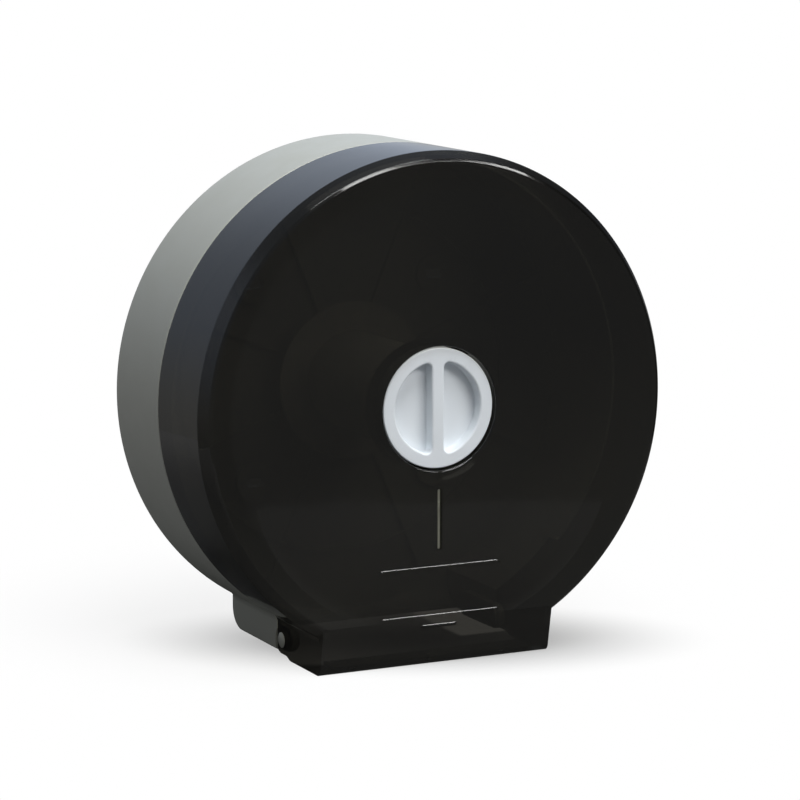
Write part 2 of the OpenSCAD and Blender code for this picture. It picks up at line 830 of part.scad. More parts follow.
module roll_hub() {
    bore = post_r + run_gap;
    color(natural) on_wall() difference() {
        union() {
            ring(sleeve_r, bore, hub_back, hub_front - hub_back);
            ring(hub_flange_r, bore, hub_flange_z, hub_flange_t);
            difference() {
                rotate_extrude($fn = 144) polygon([
                    [bore, hub_flange_z],
                    [drum_r, hub_flange_z],
                    [drum_r, drum_front - nose_len],
                    [drum_r - hub_wall / 2, drum_front],
                    [drum_r - hub_wall, drum_front],
                    [bore, drum_front]]);
                ring(drum_r - hub_wall, bore, hub_flange_z + hub_flange_t, keeper_back);
            }
            for (i = [0:web_count - 1]) rotate([0, 0, 360 * i / web_count])
                translate([bore + 1, -hub_wall / 2, hub_flange_z])
                    cube([drum_r - bore - 2, hub_wall, drum_front - hub_flange_z - 2]);
        }
        translate([0, 0, 0]) cylinder(r = bore, h = keeper_back);
    }
}

module rear_hub_washer() {
    color(natural) on_wall() ring(sleeve_r, post_r + run_gap, flange_top, washer_t);
}

module front_hub_washer() {
    color(natural) on_wall() ring(sleeve_r, post_r + run_gap, keeper_back - washer_t, washer_t);
}

back_shell();
front_cover();
lock_knob();
friction_washer();
retaining_clip();
lock_cam();
cam_washer();
cam_screw();
spindle_post();
spindle_screws();
keeper_cap();
keeper_screws();
roll_hub();
rear_hub_washer();
front_hub_washer();
hinge_pin_left();
hinge_pin_right();
tear_bar();
tear_bar_rivets();
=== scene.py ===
import json
from math import acos, asin, atan2, cos, pi, radians, sin, sqrt, tan

import bmesh
import bpy
from mathutils import Matrix, Vector


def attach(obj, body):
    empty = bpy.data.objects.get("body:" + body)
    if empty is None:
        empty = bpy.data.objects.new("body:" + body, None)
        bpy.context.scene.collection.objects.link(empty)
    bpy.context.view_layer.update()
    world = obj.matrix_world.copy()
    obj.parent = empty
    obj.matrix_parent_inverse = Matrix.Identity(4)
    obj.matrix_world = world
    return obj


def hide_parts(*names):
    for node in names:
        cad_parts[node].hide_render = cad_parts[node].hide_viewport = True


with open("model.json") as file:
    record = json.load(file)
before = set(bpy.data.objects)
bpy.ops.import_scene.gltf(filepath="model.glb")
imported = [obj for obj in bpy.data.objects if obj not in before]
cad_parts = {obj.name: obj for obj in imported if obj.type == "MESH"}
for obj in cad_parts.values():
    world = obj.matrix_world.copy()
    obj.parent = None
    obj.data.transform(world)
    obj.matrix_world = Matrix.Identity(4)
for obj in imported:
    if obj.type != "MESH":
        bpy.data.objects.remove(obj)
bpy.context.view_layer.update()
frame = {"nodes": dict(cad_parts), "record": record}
cadNodes = frame["nodes"]
scene = bpy.context.scene
slotOfNode = {row["node"]: row["material_slot"] for row in frame["record"]["subparts"]}
bodyOfNode = {node: body for body, nodes in frame["record"]["behaviour"]["bodies"].items() for node in nodes}
print("frame loaded:", len(cadNodes), "nodes")


def startMaterial(name):
    material = bpy.data.materials.new(name)
    material.use_nodes = True
    return material, material.node_tree, material.node_tree.nodes["Principled BSDF"]


def wire(node, **wires):
    # sets sockets by name, or by number as i0, i1; a node stands for its first output
    for key, value in wires.items():
        numbered = key[0] == "i" and key[1:].isdigit()
        socket = node.inputs[int(key[1:]) if numbered else key.replace("_", " ")]
        value = value.outputs[0] if isinstance(value, bpy.types.Node) else value
        if isinstance(value, bpy.types.NodeSocket):
            node.id_data.links.new(value, socket)
        else:
            socket.default_value = value
    return node


def step(tree, kind, settings=(), **wires):
    # one node with its properties and its wires
    node = tree.nodes.new(kind)
    for key, value in dict(settings).items():
        setattr(node, key, value)
    return wire(node, **wires)


def objectSpace(tree, scale=(1, 1, 1)):
    place = step(tree, "ShaderNodeTexCoord").outputs["Object"]
    return step(tree, "ShaderNodeMapping", Vector=place, Scale=scale).outputs["Vector"]


def noise(tree, vector, scale, detail=3.0, roughness=0.5):
    node = step(tree, "ShaderNodeTexNoise", Vector=vector, Scale=scale, Detail=detail, Roughness=roughness)
    return node.outputs["Fac"]


def spread(tree, value, low, high):
    # the middle of a noise's range, spread from low to high
    node = step(tree, "ShaderNodeMapRange", Value=value, From_Min=0.3, From_Max=0.7, To_Min=low, To_Max=high)
    return node.outputs["Result"]


def bump(tree, height, strength, distance, **under):
    node = step(tree, "ShaderNodeBump", Height=height, Strength=strength, Distance=distance, **under)
    return node.outputs["Normal"]


def mixColour(tree, value, first, second):
    node = step(tree, "ShaderNodeMix", {"data_type": "RGBA"}, i0=value, i6=(*first, 1), i7=(*second, 1))
    return node.outputs[2]


def calc(tree, operation, *values):
    wires = {f"i{i}": value for i, value in enumerate(values)}
    return step(tree, "ShaderNodeMath", {"operation": operation}, **wires)


def times(tree, first, second):
    return calc(tree, "MULTIPLY", first, second)


def ease(tree, value, start, end, low=0.0, high=1.0):
    # runs smoothly from low at the start to high at the end
    smooth = {"interpolation_type": "SMOOTHSTEP"}
    ends = {"From_Min": start, "From_Max": end, "To_Min": low, "To_Max": high}
    return step(tree, "ShaderNodeMapRange", smooth, Value=value, **ends).outputs["Result"]


def rayKinds(tree, *kinds):
    # 1 for the named kinds of ray, 0 for the rest
    rays = step(tree, "ShaderNodeLightPath")
    total = rays.outputs[kinds[0]]
    for kind in kinds[1:]:
        total = calc(tree, "MAXIMUM", total, rays.outputs[kind])
    return total


def mixShaders(tree, share, first, second):
    return step(tree, "ShaderNodeMixShader", i0=share, i1=first, i2=second)


def makeMoulded(name, v):
    # a moulded plastic: cloudy colour and gloss under a fine grain, on a slow wave where it has one
    material, tree, shader = startMaterial(name)
    space = objectSpace(tree)
    under = {"Normal": bump(tree, noise(tree, space, *v["wave"]), *v["waveDepth"])} if "wave" in v else {}
    wire(
        shader, Base_Color=mixColour(tree, noise(tree, space, v["cloud"]), v["pale"], v["deep"]),
        Roughness=spread(tree, noise(tree, space, v["patch"], 4), *v["roughness"]),
        Normal=bump(tree, noise(tree, space, *v["grain"]), *v["grainDepth"], **under), **v["inside"],
    )
    return material


shellFinish = {
    "pale": (0.50, 0.51, 0.465), "deep": (0.455, 0.465, 0.415), "roughness": (0.36, 0.46), "cloud": 14,
    "patch": 60,
    "grain": (2600, 2, 0.6), "grainDepth": (0.22, 0.00012), "wave": (22, 1), "waveDepth": (0.05, 0.002),
    "inside": {},
}


smokeFinish = {
    "tint": (0.42, 0.41, 0.38), "lightTint": (0.68, 0.67, 0.64), "pale": (0.012, 0.0115, 0.0095),
    "deep": (0.006, 0.006, 0.006), "cover": 0.63, "grazing": 5.0, "gloss": 0.8, "roughness": (0.04, 0.08),
    "cloud": (6, 2), "patch": 35, "wave": (18, 1), "waveDepth": (0.10, 0.002),
}


def makeSmoke(name, v):
    # dark gloss over a tinted clear body; light falls through it more easily than the eye sees through it
    material, tree, shader = startMaterial(name)
    space = objectSpace(tree)
    cloud = spread(tree, noise(tree, space, *v["cloud"]), 0, 1)
    wire(
        shader, Base_Color=mixColour(tree, cloud, v["pale"], v["deep"]), Specular_IOR_Level=v["gloss"],
        Roughness=spread(tree, noise(tree, space, v["patch"], 4), *v["roughness"]),
        Normal=bump(tree, noise(tree, space, *v["wave"]), *v["waveDepth"]),
    )
    clear = step(tree, "ShaderNodeBsdfTransparent", Color=(*v["tint"], 1))
    lit = step(tree, "ShaderNodeBsdfTransparent", Color=(*v["lightTint"], 1))
    edge = step(tree, "ShaderNodeLayerWeight", Blend=0.5).outputs["Facing"]
    share = calc(tree, "MULTIPLY_ADD", calc(tree, "POWER", edge, v["grazing"]), 1 - v["cover"], v["cover"])
    seen = mixShaders(tree, share, clear, shader)
    whole = mixShaders(tree, rayKinds(tree, "Is Shadow Ray"), seen, lit)
    wire(tree.nodes["Material Output"], Surface=whole)
    return material


knobFinish = {
    "pale": (0.80, 0.84, 0.87), "deep": (0.76, 0.80, 0.835), "roughness": (0.28, 0.38), "cloud": 40,
    "patch": 120,
    "grain": (3000, 2), "grainDepth": (0.10, 0.0001),
    "inside": {"Subsurface_Weight": 0.08, "Subsurface_Radius": (0.002, 0.002, 0.002)},
}
innerFinish = {
    "pale": (0.80, 0.785, 0.72), "deep": (0.73, 0.71, 0.64), "roughness": (0.42, 0.55), "cloud": 25,
    "patch": 90,
    "grain": (2200, 2), "grainDepth": (0.12, 0.0001),
    "inside": {"Subsurface_Weight": 0.1, "Subsurface_Radius": (0.003, 0.003, 0.002)},
}


steelFinish = {
    "pale": (0.74, 0.75, 0.77), "deep": (0.62, 0.63, 0.66), "roughness": (0.22, 0.38),
    "streak": (60, 4000, 900),
    "streakDepth": (0.15, 0.00005),
}


def makeSteel(name, v):
    material, tree, shader = startMaterial(name)
    streak = noise(tree, objectSpace(tree, v["streak"]), 1, 4, 0.6)
    wire(
        shader, Base_Color=mixColour(tree, streak, v["pale"], v["deep"]), Metallic=1,
        Roughness=spread(tree, streak, *v["roughness"]), Normal=bump(tree, streak, *v["streakDepth"]),
    )
    return material


finishes = {
    "shell_grey": makeMoulded("satinGreyPlastic", shellFinish),
    "cover_smoke": makeSmoke("smokedClearPlastic", smokeFinish),
    "knob_white": makeMoulded("whiteMouldedPlastic", knobFinish),
    "inner_natural": makeMoulded("naturalNylon", innerFinish),
    "steel_bright": makeSteel("zincPlatedSteel", steelFinish),
}
print("materials made:", len(finishes))


# Shapes are in millimetres and in the wall's own terms: x, height, and depth out of the wall, here -Y.
mm = 0.001


def rounded(corners, steps=6):
    # a closed outline from corners given as (a, b) or (a, b, radius)
    points = []
    for i, corner in enumerate(corners):
        here, radius = Vector(corner[:2]), (corner[2] if len(corner) > 2 else 0)
        if radius <= 0:
            points.append((here.x, here.y))
            continue
        u = (Vector(corners[i - 1][:2]) - here).normalized()
        v = (Vector(corners[(i + 1) % len(corners)][:2]) - here).normalized()
        half = u.angle(v) / 2
        centre = here + (u + v).normalized() * radius / sin(half)
        first = here + u * radius / tan(half) - centre
        last = here + v * radius / tan(half) - centre
        start = atan2(first.y, first.x)
        turn = (atan2(last.y, last.x) - start + pi) % (2 * pi) - pi
        points += arc(centre, radius, start, start + turn, steps)
    return points


def arc(centre, radius, start, end, steps):
    angles = [start + (end - start) * k / steps for k in range(steps + 1)]
    return [(centre[0] + radius * cos(a), centre[1] + radius * sin(a)) for a in angles]


def circle(centre, radius, steps):
    return arc(centre, radius, 0, 2 * pi, steps)[:-1]


def softBox(half, low, high, radius, out=0.0, steps=6):
    # an upright rectangle about x = 0 with round corners, let out or taken in
    r = max(radius + out, 0.05)
    x = half + out
    return rounded([(-x, low - out, r), (x, low - out, r), (x, high + out, r), (-x, high + out, r)], steps)


def linked(name, data):
    piece = bpy.data.objects.new(name, data)
    scene.collection.objects.link(piece)
    return piece


def addPiece(name, bm):
    mesh = bpy.data.meshes.new(name)
    bm.to_mesh(mesh)
    bm.free()
    return linked(name, mesh)


def settle(piece):
    # the evaluated mesh takes the place of the modifiers
    graph = bpy.context.evaluated_depsgraph_get()
    shape = piece.evaluated_get(graph)
    done = bpy.data.meshes.new_from_object(shape, preserve_all_data_layers=True, depsgraph=graph)
    piece.modifiers.clear()
    old = piece.data
    piece.data = done
    if not old.users:
        bpy.data.meshes.remove(old)
    return piece


def openMesh(piece):
    bm = bmesh.new()
    bm.from_mesh(piece.data)
    return bm


def closeMesh(bm, piece):
    bm.to_mesh(piece.data)
    bm.free()
    return piece


def cleanMesh(piece):
    bm = openMesh(piece)
    bmesh.ops.remove_doubles(bm, verts=bm.verts, dist=1e-7)
    loose = [edge for edge in bm.edges if not edge.link_faces]
    bmesh.ops.delete(bm, geom=loose, context="EDGES")
    bmesh.ops.recalc_face_normals(bm, faces=bm.faces)
    return closeMesh(bm, piece)


def outOfWall(x, height, depth):
    return (x * mm, -depth * mm, height * mm)


def acrossObject(depth, height, x):
    return outOfWall(x, height, depth)


def upright(x, depth, height):
    return outOfWall(x, height, depth)


def loft(name, layers, spot=outOfWall):
    # skins loops that have the same number of points; spot turns (a, b, layer) into a place
    bm = bmesh.new()
    loops = [[bm.verts.new(spot(a, b, level)) for a, b in loop] for level, loop in layers]
    bm.faces.new(loops[0])
    bm.faces.new(loops[-1][::-1])
    for low, high in zip(loops, loops[1:]):
        for k in range(len(low)):
            j = (k + 1) % len(low)
            bm.faces.new((low[k], low[j], high[j], high[k]))
    bmesh.ops.recalc_face_normals(bm, faces=bm.faces)
    return addPiece(name, bm)


def softStack(name, base, box, profile, steps=6, spot=outOfWall):
    # a soft box, given as (half, low, high, corner), through layers given as (rise, out)
    return loft(name, [(base + rise, softBox(*box, out, steps)) for rise, out in profile], spot)


def slab(name, outline, low, high, spot=outOfWall):
    return loft(name, [(low, outline), (high, outline)], spot)


def block(name, x, depth, height):
    outline = [(x[0], height[0]), (x[1], height[0]), (x[1], height[1]), (x[0], height[1])]
    return slab(name, outline, *depth)


def easeEdges(piece, width, segments=3, chosen=None):
    # chosen gets the middle of an edge as (x, depth, height)
    bm = openMesh(piece)
    edges = []
    for edge in bm.edges:
        middle = (edge.verts[0].co + edge.verts[1].co) / 2 / mm
        sharp = edge.is_manifold and edge.calc_face_angle(0) > radians(30)
        if sharp and (chosen is None or chosen(middle.x, -middle.y, middle.z)):
            edges.append(edge)
    bmesh.ops.bevel(
        bm, geom=edges, offset=width * mm, segments=segments, profile=0.5, affect="EDGES", clamp_overlap=True)
    return closeMesh(bm, piece)


def carve(body, *tools, way="DIFFERENCE"):
    for tool in tools:
        cut = body.modifiers.new("carve", "BOOLEAN")
        cut.operation = way
        cut.solver = "MANIFOLD"
        cut.object = tool
        settle(body)
        drop(tool)
    return body


def unite(body, *tools):
    return carve(body, *tools, way="UNION")


def drop(piece):
    mesh = piece.data
    bpy.data.objects.remove(piece)
    bpy.data.meshes.remove(mesh)


def mirrored(piece):
    # a second copy on the other side of the middle
    bm = openMesh(piece)
    bmesh.ops.scale(bm, vec=(-1, 1, 1), verts=bm.verts)
    bmesh.ops.recalc_face_normals(bm, faces=bm.faces)
    return addPiece(piece.name + "Twin", bm)


def moved(piece, matrix):
    piece.data.transform(matrix)
    return piece


def shifted(piece, x=0, height=0, depth=0):
    return moved(piece, Matrix.Translation(outOfWall(x, height, depth)))


def shade(piece, angle):
    bm = openMesh(piece)
    limit = radians(angle)
    for face in bm.faces:
        face.smooth = True
        face.material_index = 0
    for edge in bm.edges:
        edge.smooth = len(edge.link_faces) == 2 and edge.calc_face_angle(0) < limit
    closeMesh(bm, piece)
    even = piece.modifiers.new("even", "WEIGHTED_NORMAL")
    even.keep_sharp = True
    even.weight = 80
    return settle(piece)


def dress(piece, nodeName, angle=28):
    # the piece takes the place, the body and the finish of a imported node
    shade(cleanMesh(piece), angle)
    piece.data.materials.clear()
    piece.data.materials.append(finishes[slotOfNode[nodeName]])
    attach(piece, bodyOfNode[nodeName])
    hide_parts(nodeName)
    return piece


socketKinds = {int: "NodeSocketInt", float: "NodeSocketFloat"}


def startTree(name, **sizes):
    tree = bpy.data.node_groups.new(name, "GeometryNodeTree")
    for way in ("INPUT", "OUTPUT"):
        tree.interface.new_socket("Geometry", in_out=way, socket_type="NodeSocketGeometry")
    for key, value in sizes.items():
        kind = socketKinds[type(value)]
        tree.interface.new_socket(key, in_out="INPUT", socket_type=kind).default_value = value
    tree.interface.new_socket("Material", in_out="INPUT", socket_type="NodeSocketMaterial")
    return tree, tree.nodes.new("NodeGroupInput").outputs


def spotOf(tree, x=0.0, y=0.0, z=0.0):
    return step(tree, "ShaderNodeCombineXYZ", X=x, Y=y, Z=z)


def gridSteps(tree, across):
    # the column and the row of every point of a grid, from the number of points in a column
    index = step(tree, "GeometryNodeInputIndex")
    column = calc(tree, "FLOOR", calc(tree, "DIVIDE", calc(tree, "ADD", index, 0.5), across))
    return column, calc(tree, "SUBTRACT", index, times(tree, column, across))


def closeTree(tree, given, geometry):
    whole = step(tree, "GeometryNodeRealizeInstances", Geometry=geometry)
    finish = step(tree, "GeometryNodeSetMaterial", Geometry=whole, Material=given["Material"])
    step(tree, "NodeGroupOutput", i0=finish)
    return tree


def copyTo(tree, given, line, **turn):
    # closes a tree with a copy of its shape on every point of the line
    copies = step(tree, "GeometryNodeInstanceOnPoints", Points=line, Instance=given["Geometry"], **turn)
    return closeTree(tree, given, copies)


def grow(piece, tree, **sizes):
    # runs a tree on a piece and keeps the result as a plain mesh
    grown = piece.modifiers.new(tree.name, "NODES")
    grown.node_group = tree
    names = {item.name: item.identifier for item in tree.interface.items_tree if item.in_out == "INPUT"}
    for key, value in sizes.items():
        grown[names[key]] = value
    grown[names["Material"]] = finishes["shell_grey"]
    return cleanMesh(settle(piece))


def lineOfPoints(name, points):
    # a loose row of points, as (radius, depth), for a tree to start from
    mesh = bpy.data.meshes.new(name)
    mesh.from_pydata([(r * mm, -d * mm, 0) for r, d in points], [], [])
    return linked(name, mesh)


def makeTurningTree():
    # turns a closed row of points about the Y axis like a lathe; a grid's columns are the steps of the turn
    tree, given = startTree("turning", Segments=240)
    profile = given["Geometry"]
    size = step(tree, "GeometryNodeAttributeDomainSize", {"component": "MESH"}, Geometry=profile)
    rows = size.outputs["Point Count"]
    across = calc(tree, "ADD", rows, 1.0)
    columns = calc(tree, "ADD", given["Segments"], 1.0)
    grid = step(tree, "GeometryNodeMeshGrid", Vertices_X=columns, Vertices_Y=across)
    column, row = gridSteps(tree, across)
    row = calc(tree, "FLOOR", calc(tree, "ADD", calc(tree, "FLOORED_MODULO", row, rows), 0.5))
    where = step(tree, "GeometryNodeInputPosition")
    vector = {"data_type": "FLOAT_VECTOR"}
    point = step(tree, "GeometryNodeSampleIndex", vector, Geometry=profile, Value=where, Index=row)
    parts = step(tree, "ShaderNodeSeparateXYZ", Vector=point).outputs
    angle = times(tree, calc(tree, "DIVIDE", column, given["Segments"]), 2 * pi)
    x = times(tree, parts["X"], calc(tree, "COSINE", angle))
    z = times(tree, parts["X"], calc(tree, "SINE", angle))
    place = spotOf(tree, x, parts["Y"], z)
    lathed = step(tree, "GeometryNodeSetPosition", Geometry=grid, Position=place)
    closed = step(tree, "GeometryNodeMergeByDistance", Geometry=lathed, Distance=1e-7)
    return closeTree(tree, given, closed)


def makeRingTree():
    # copies a shape round the Y axis, evenly, from a first angle in degrees
    tree, given = startTree("ringOfCopies", Count=8, First=0.0)
    origin = {"Start_Location": (0, 0, 0), "Offset": (0, 0, 0)}
    line = step(tree, "GeometryNodeMeshLine", Count=given["Count"], **origin)
    share = calc(tree, "DIVIDE", step(tree, "GeometryNodeInputIndex"), given["Count"])
    first = calc(tree, "RADIANS", given["First"])
    angle = calc(tree, "ADD", times(tree, share, -2 * pi), first)
    turn = step(tree, "FunctionNodeEulerToRotation", Euler=spotOf(tree, 0.0, angle, 0.0))
    return copyTo(tree, given, line, Rotation=turn)


def makeRowTree():
    # copies a shape along X, centred on the middle
    tree, given = startTree("rowOfCopies", Count=3, Pitch=0.04)
    span = times(tree, calc(tree, "SUBTRACT", given["Count"], 1.0), given["Pitch"])
    start = spotOf(tree, times(tree, span, -0.5))
    ends = {"Start_Location": start, "Offset": spotOf(tree, given["Pitch"])}
    return copyTo(tree, given, step(tree, "GeometryNodeMeshLine", Count=given["Count"], **ends))


def makeToothedStripTree():
    # a strip of sheet with pointed teeth on its far edge
    sizes = {"Pitch": 0.004, "Width": 0.012, "Height": 0.003, "Thickness": 0.0008}
    tree, given = startTree("toothedStrip", Teeth=29, **sizes)
    columns = calc(tree, "ADD", times(tree, given["Teeth"], 2.0), 1.0)
    grid = step(tree, "GeometryNodeMeshGrid", Vertices_X=columns, Vertices_Y=4)
    column, row = gridSteps(tree, 4.0)
    start = times(tree, times(tree, given["Teeth"], given["Pitch"]), -0.5)
    x = calc(tree, "ADD", start, times(tree, column, times(tree, given["Pitch"], 0.5)))
    edge = calc(tree, "GREATER_THAN", row, 2.5)
    tip = times(tree, calc(tree, "FLOORED_MODULO", column, 2.0), edge)
    half = times(tree, given["Width"], 0.5)
    back = times(tree, calc(tree, "MINIMUM", row, 2.0), half)
    y = calc(tree, "ADD", back, times(tree, tip, given["Height"]))
    flat = step(tree, "GeometryNodeSetPosition", Geometry=grid, Position=spotOf(tree, x, y))
    rise = {"Offset_Scale": given["Thickness"], "Individual": False}
    thick = step(tree, "GeometryNodeExtrudeMesh", {"mode": "FACES"}, Mesh=flat, **rise)
    both = step(tree, "GeometryNodeJoinGeometry", Geometry=thick)
    wire(both, Geometry=step(tree, "GeometryNodeFlipFaces", Mesh=flat))
    closed = step(tree, "GeometryNodeMergeByDistance", Geometry=both, Distance=1e-7)
    return closeTree(tree, given, closed)


turningTree = makeTurningTree()
ringTree = makeRingTree()
rowTree = makeRowTree()
stripTree = makeToothedStripTree()
print("node trees made:", len(bpy.data.node_groups))


def turned(name, corners, segments=240, steps=6):
    return grow(lineOfPoints(name, rounded(corners, steps)), turningTree, Segments=segments)


def solidRound(name, radius, low, high, edge=0, segments=32, steps=2):
    # a round bar on the axis, with its front edge rounded
    return turned(name, [(0, low), (radius, low), (radius, high, edge), (0, high)], segments, steps)


caseValues = {
    "radius": 135, "footHalf": 67.5, "fold": -112, "footFillet": 6, "cornerBite": 0.02, "cornerRoot": -113.6,
    "hinge": (67.4, -128.9), "pinBore": 4.25, "segments": 288,
}


def footCorner(name, low, high):
    # the hollow corner where the foot leaves the round case; its arc bites a little into both walls
    v, half = caseValues, caseValues["footHalf"]
    reach = v["footFillet"] - v["cornerBite"]
    centre = (half + reach, -sqrt((v["radius"] + reach) ** 2 - (half + reach) ** 2))
    towards = atan2(-centre[1], -centre[0])
    inside = [(half + 1.9, v["cornerRoot"]), (half - 1.5, v["cornerRoot"]), (half - 1.5, centre[1])]
    corner = slab(name, arc(centre, v["footFillet"], pi, towards, 10) + inside, low, high)
    return corner, mirrored(corner)


def onSide(x):
    return abs(abs(x) - caseValues["footHalf"]) < 0.01


def hingeBore(radius, low, high):
    bore = slab("hingeBore", circle(caseValues["hinge"], radius, 48), low, high, acrossObject)
    return bore, mirrored(bore)


coverValues = {
    "seam": 62.7, "wall": 2.4, "sideEnd": 116.2, "bevelRadius": 131.16, "bevelEnd": 122.6,
    "crestRadius": 129.7,
    "crest": 123.2, "dish": 117, "dishRound": 60, "face": 121.8, "seamEdge": 0.5, "sideEdge": 1.6,
    "crestEdge": 0.8,
    "low": -138, "lean": 10.6, "toeRadius": 4, "toeFloor": 14, "edgeRadius": 3.4, "lowEdge": 0.5,
    "footTop": -104,
    "mouthTop": -100, "knuckle": 7.3, "heel": (11.1, 6.57), "heelRadius": 3, "rivetPitch": 44.08,
    "rivetDepth": 107.034, "rivetRadius": 1.5, "boreRoom": 0.15,
}
pocketValues = {
    "radius": 33, "mouthEdge": 1.0, "mouthRound": 3.6, "floor": 107, "floorEdge": 0.8, "back": 104.6,
    "bushRadius": 12, "bushBack": 103.2, "bore": 8.05,
}
panelValues = {
    "half": 36, "low": -111.0, "high": -83.8, "corner": 3, "raise": 0.39, "flank": 0.17, "lift": 0.16,
    "rim": 1.1,
    "sink": 0.29,
}
barValues = {"half": 10, "drop": 4.3, "height": 1.4, "raise": 0.8, "corner": 0.6}
sightValues = {"half": 1.1, "low": -75, "high": -43, "corner": 0.4, "flare": 0.55, "markDepth": 0.5}


def leaning(along, up, out):
    # a place on the cover's leaning front, from the fold
    a = radians(coverValues["lean"])
    depth = coverValues["face"] + up * sin(a) + out * cos(a)
    return outOfWall(along, caseValues["fold"] + up * cos(a) - out * sin(a), depth)


def behindLean(name, inset):
    # everything in front of the leaning front, taken in by the inset
    v, far, deep = coverValues, 80, 150
    face, fold = v["face"] - inset, caseValues["fold"]
    foot = face - deep * tan(radians(v["lean"]))
    outline = [(face, fold), (face + far, fold), (face + far, fold - deep), (foot, fold - deep)]
    return slab(name, outline, -deep, deep, acrossObject)


def toeDepth():
    # where the leaning front meets the foot's lower face
    v = coverValues
    return v["face"] + (v["low"] - caseValues["fold"]) * tan(radians(v["lean"]))


def makeCoverFoot():
    v, c, pin = coverValues, caseValues, caseValues["hinge"]
    under = pin[1] - v["knuckle"]
    heelAngle = -pi + acos((pin[0] - v["seam"]) / v["knuckle"])
    outline = rounded([
        (v["seam"], v["footTop"]), (v["face"], v["footTop"]), (v["face"], c["fold"]),
        (toeDepth(), v["low"], v["toeRadius"]), (pin[0] + v["heel"][0], v["low"], v["heelRadius"]),
        (pin[0] + v["heel"][1], under, v["heelRadius"]), (pin[0], under),
    ]) + arc(pin, v["knuckle"], -pi / 2, heelAngle, 8)[1:]
    foot = slab("coverFoot", outline, -c["footHalf"], c["footHalf"], acrossObject)

    def frontEdge(x, depth, height):
        return onSide(x) and depth > pin[0] + 12

    def lowEdge(x, depth, height):
        return onSide(x) and v["seam"] + 0.1 < depth < pin[0] + 12

    easeEdges(foot, v["edgeRadius"], 5, frontEdge)
    return easeEdges(foot, v["lowEdge"], 2, lowEdge)


def makeCoverHollow():
    v, p, c = coverValues, pocketValues, caseValues
    seam, wall, inner = v["seam"] - 1, v["wall"], v["face"] - v["wall"]
    side, bay = c["radius"] - wall, p["radius"] + wall
    hollow = turned("coverHollow", [
        (0, seam), (side, seam), (side, v["sideEnd"], 1.5), (v["bevelRadius"] - wall, inner, 1),
        (p["radius"] + p["mouthRound"] + wall, inner, 0.8), (bay, inner - p["mouthRound"], 0.8),
        (bay, p["back"], 1), (p["bushRadius"] + 1, p["back"]), (p["bushRadius"], p["bushBack"]),
        (0, p["bushBack"]),
    ], c["segments"])
    carve(hollow, behindLean("innerLean", wall))
    toe = toeDepth()
    floor, below = v["low"] + wall, v["low"] - 1
    mouth = slab("footMouth", rounded([
        (seam, v["mouthTop"]), (inner, v["mouthTop"]), (inner, c["fold"]),
        (toe - wall + 0.45, floor, v["toeRadius"] - wall), (toe - v["toeFloor"], floor),
        (toe - v["toeFloor"], below), (seam, below),
    ]), wall - c["footHalf"], c["footHalf"] - wall, acrossObject)
    return hollow, mouth


def straight(start, end):
    # a flank of a profile with short faces at its ends, so that it shades flat between them
    return [tuple(a + (b - a) * t for a, b in zip(start, end)) for t in (0, 0.12, 0.88, 1)]


def makePanel():
    # raised frame whose edges slant so that they catch the light, round a slightly sunk field
    v, face, top = panelValues, coverValues["face"], panelValues["raise"]
    box = (v["half"], v["low"], v["high"], v["corner"])
    flank, lift, rim, inner = v["flank"], v["lift"], v["rim"], -v["rim"] - 2 * v["flank"]
    outside = straight((top - 0.04 - lift, flank), (top - 0.04, -flank))
    inside = straight((top - 0.03 - lift, inner), (top - 0.03, -rim))
    raised = [(-1, flank + 0.2), (0, flank + 0.2), *outside, (top, -flank - 0.2)]
    field = [(top - v["sink"], inner - 0.12), *inside, (top, 0.15 - rim), (top + 1, 0.15 - rim)]
    return carve(softStack("panel", face, box, raised), softStack("panelDish", face, box, field))


def makeShortBar():
    v = barValues
    profile = [(-1, 0.3), (0, 0.3), (0.2, 0.06), (0.5, -0.02), (0.7, -0.16), (v["raise"], -0.4)]
    box = (v["half"], -v["drop"] - v["height"] / 2, -v["drop"] + v["height"] / 2, v["corner"])
    return softStack("shortBar", 0, box, profile, 3, leaning)


def makeSightSlot():
    v, face = sightValues, coverValues["face"]
    flare, deep = v["flare"], v["markDepth"]
    wide = [(-7, 0), (-0.8, 0), (-0.35, flare * 0.15), (-0.1, flare * 0.5), (0, flare), (0.6, flare)]
    slot = softStack("sightSlot", face, (v["half"], v["low"], v["high"], v["corner"]), wide, 3)
    mark = [(-deep, -0.35), (-deep * 0.6, -0.1), (0, 0.25), (0.6, 0.25)]
    box = (v["half"], v["high"] - 1, 2 - pocketValues["radius"], v["corner"])
    return slot, softStack("sightMark", face, box, mark, 3)


def makeCover():
    v, p, c = coverValues, pocketValues, caseValues
    cover = turned("smokedCover", [
        (p["bore"], v["seam"]), (c["radius"], v["seam"], v["seamEdge"]),
        (c["radius"], v["sideEnd"], v["sideEdge"]),
        (v["bevelRadius"], v["bevelEnd"], v["crestEdge"]), (v["crestRadius"], v["crest"], v["crestEdge"]),
        (v["dish"], v["face"], v["dishRound"]), (p["radius"], v["face"], p["mouthEdge"]),
        (p["radius"], p["floor"], p["floorEdge"]), (p["bore"], p["floor"]),
    ], c["segments"], 8)
    carve(cover, behindLean("outerLean", 0))
    unite(cover, *footCorner("coverCorner", v["seam"], v["sideEnd"]), makeCoverFoot())
    carve(cover, *makeCoverHollow())
    unite(cover, makePanel(), makeShortBar())
    carve(cover, *makeSightSlot())
    carve(cover, *hingeBore(c["pinBore"] + v["boreRoom"], c["footHalf"] - 5, c["footHalf"] + 2))
    for i in (-1, 0, 1):
        hole = circle((i * v["rivetPitch"], v["rivetDepth"]), v["rivetRadius"], 32)
        carve(cover, slab("rivetHole", hole, v["low"] - 1, v["low"] + v["wall"] + 1, upright))
    return dress(cover, "front_cover")


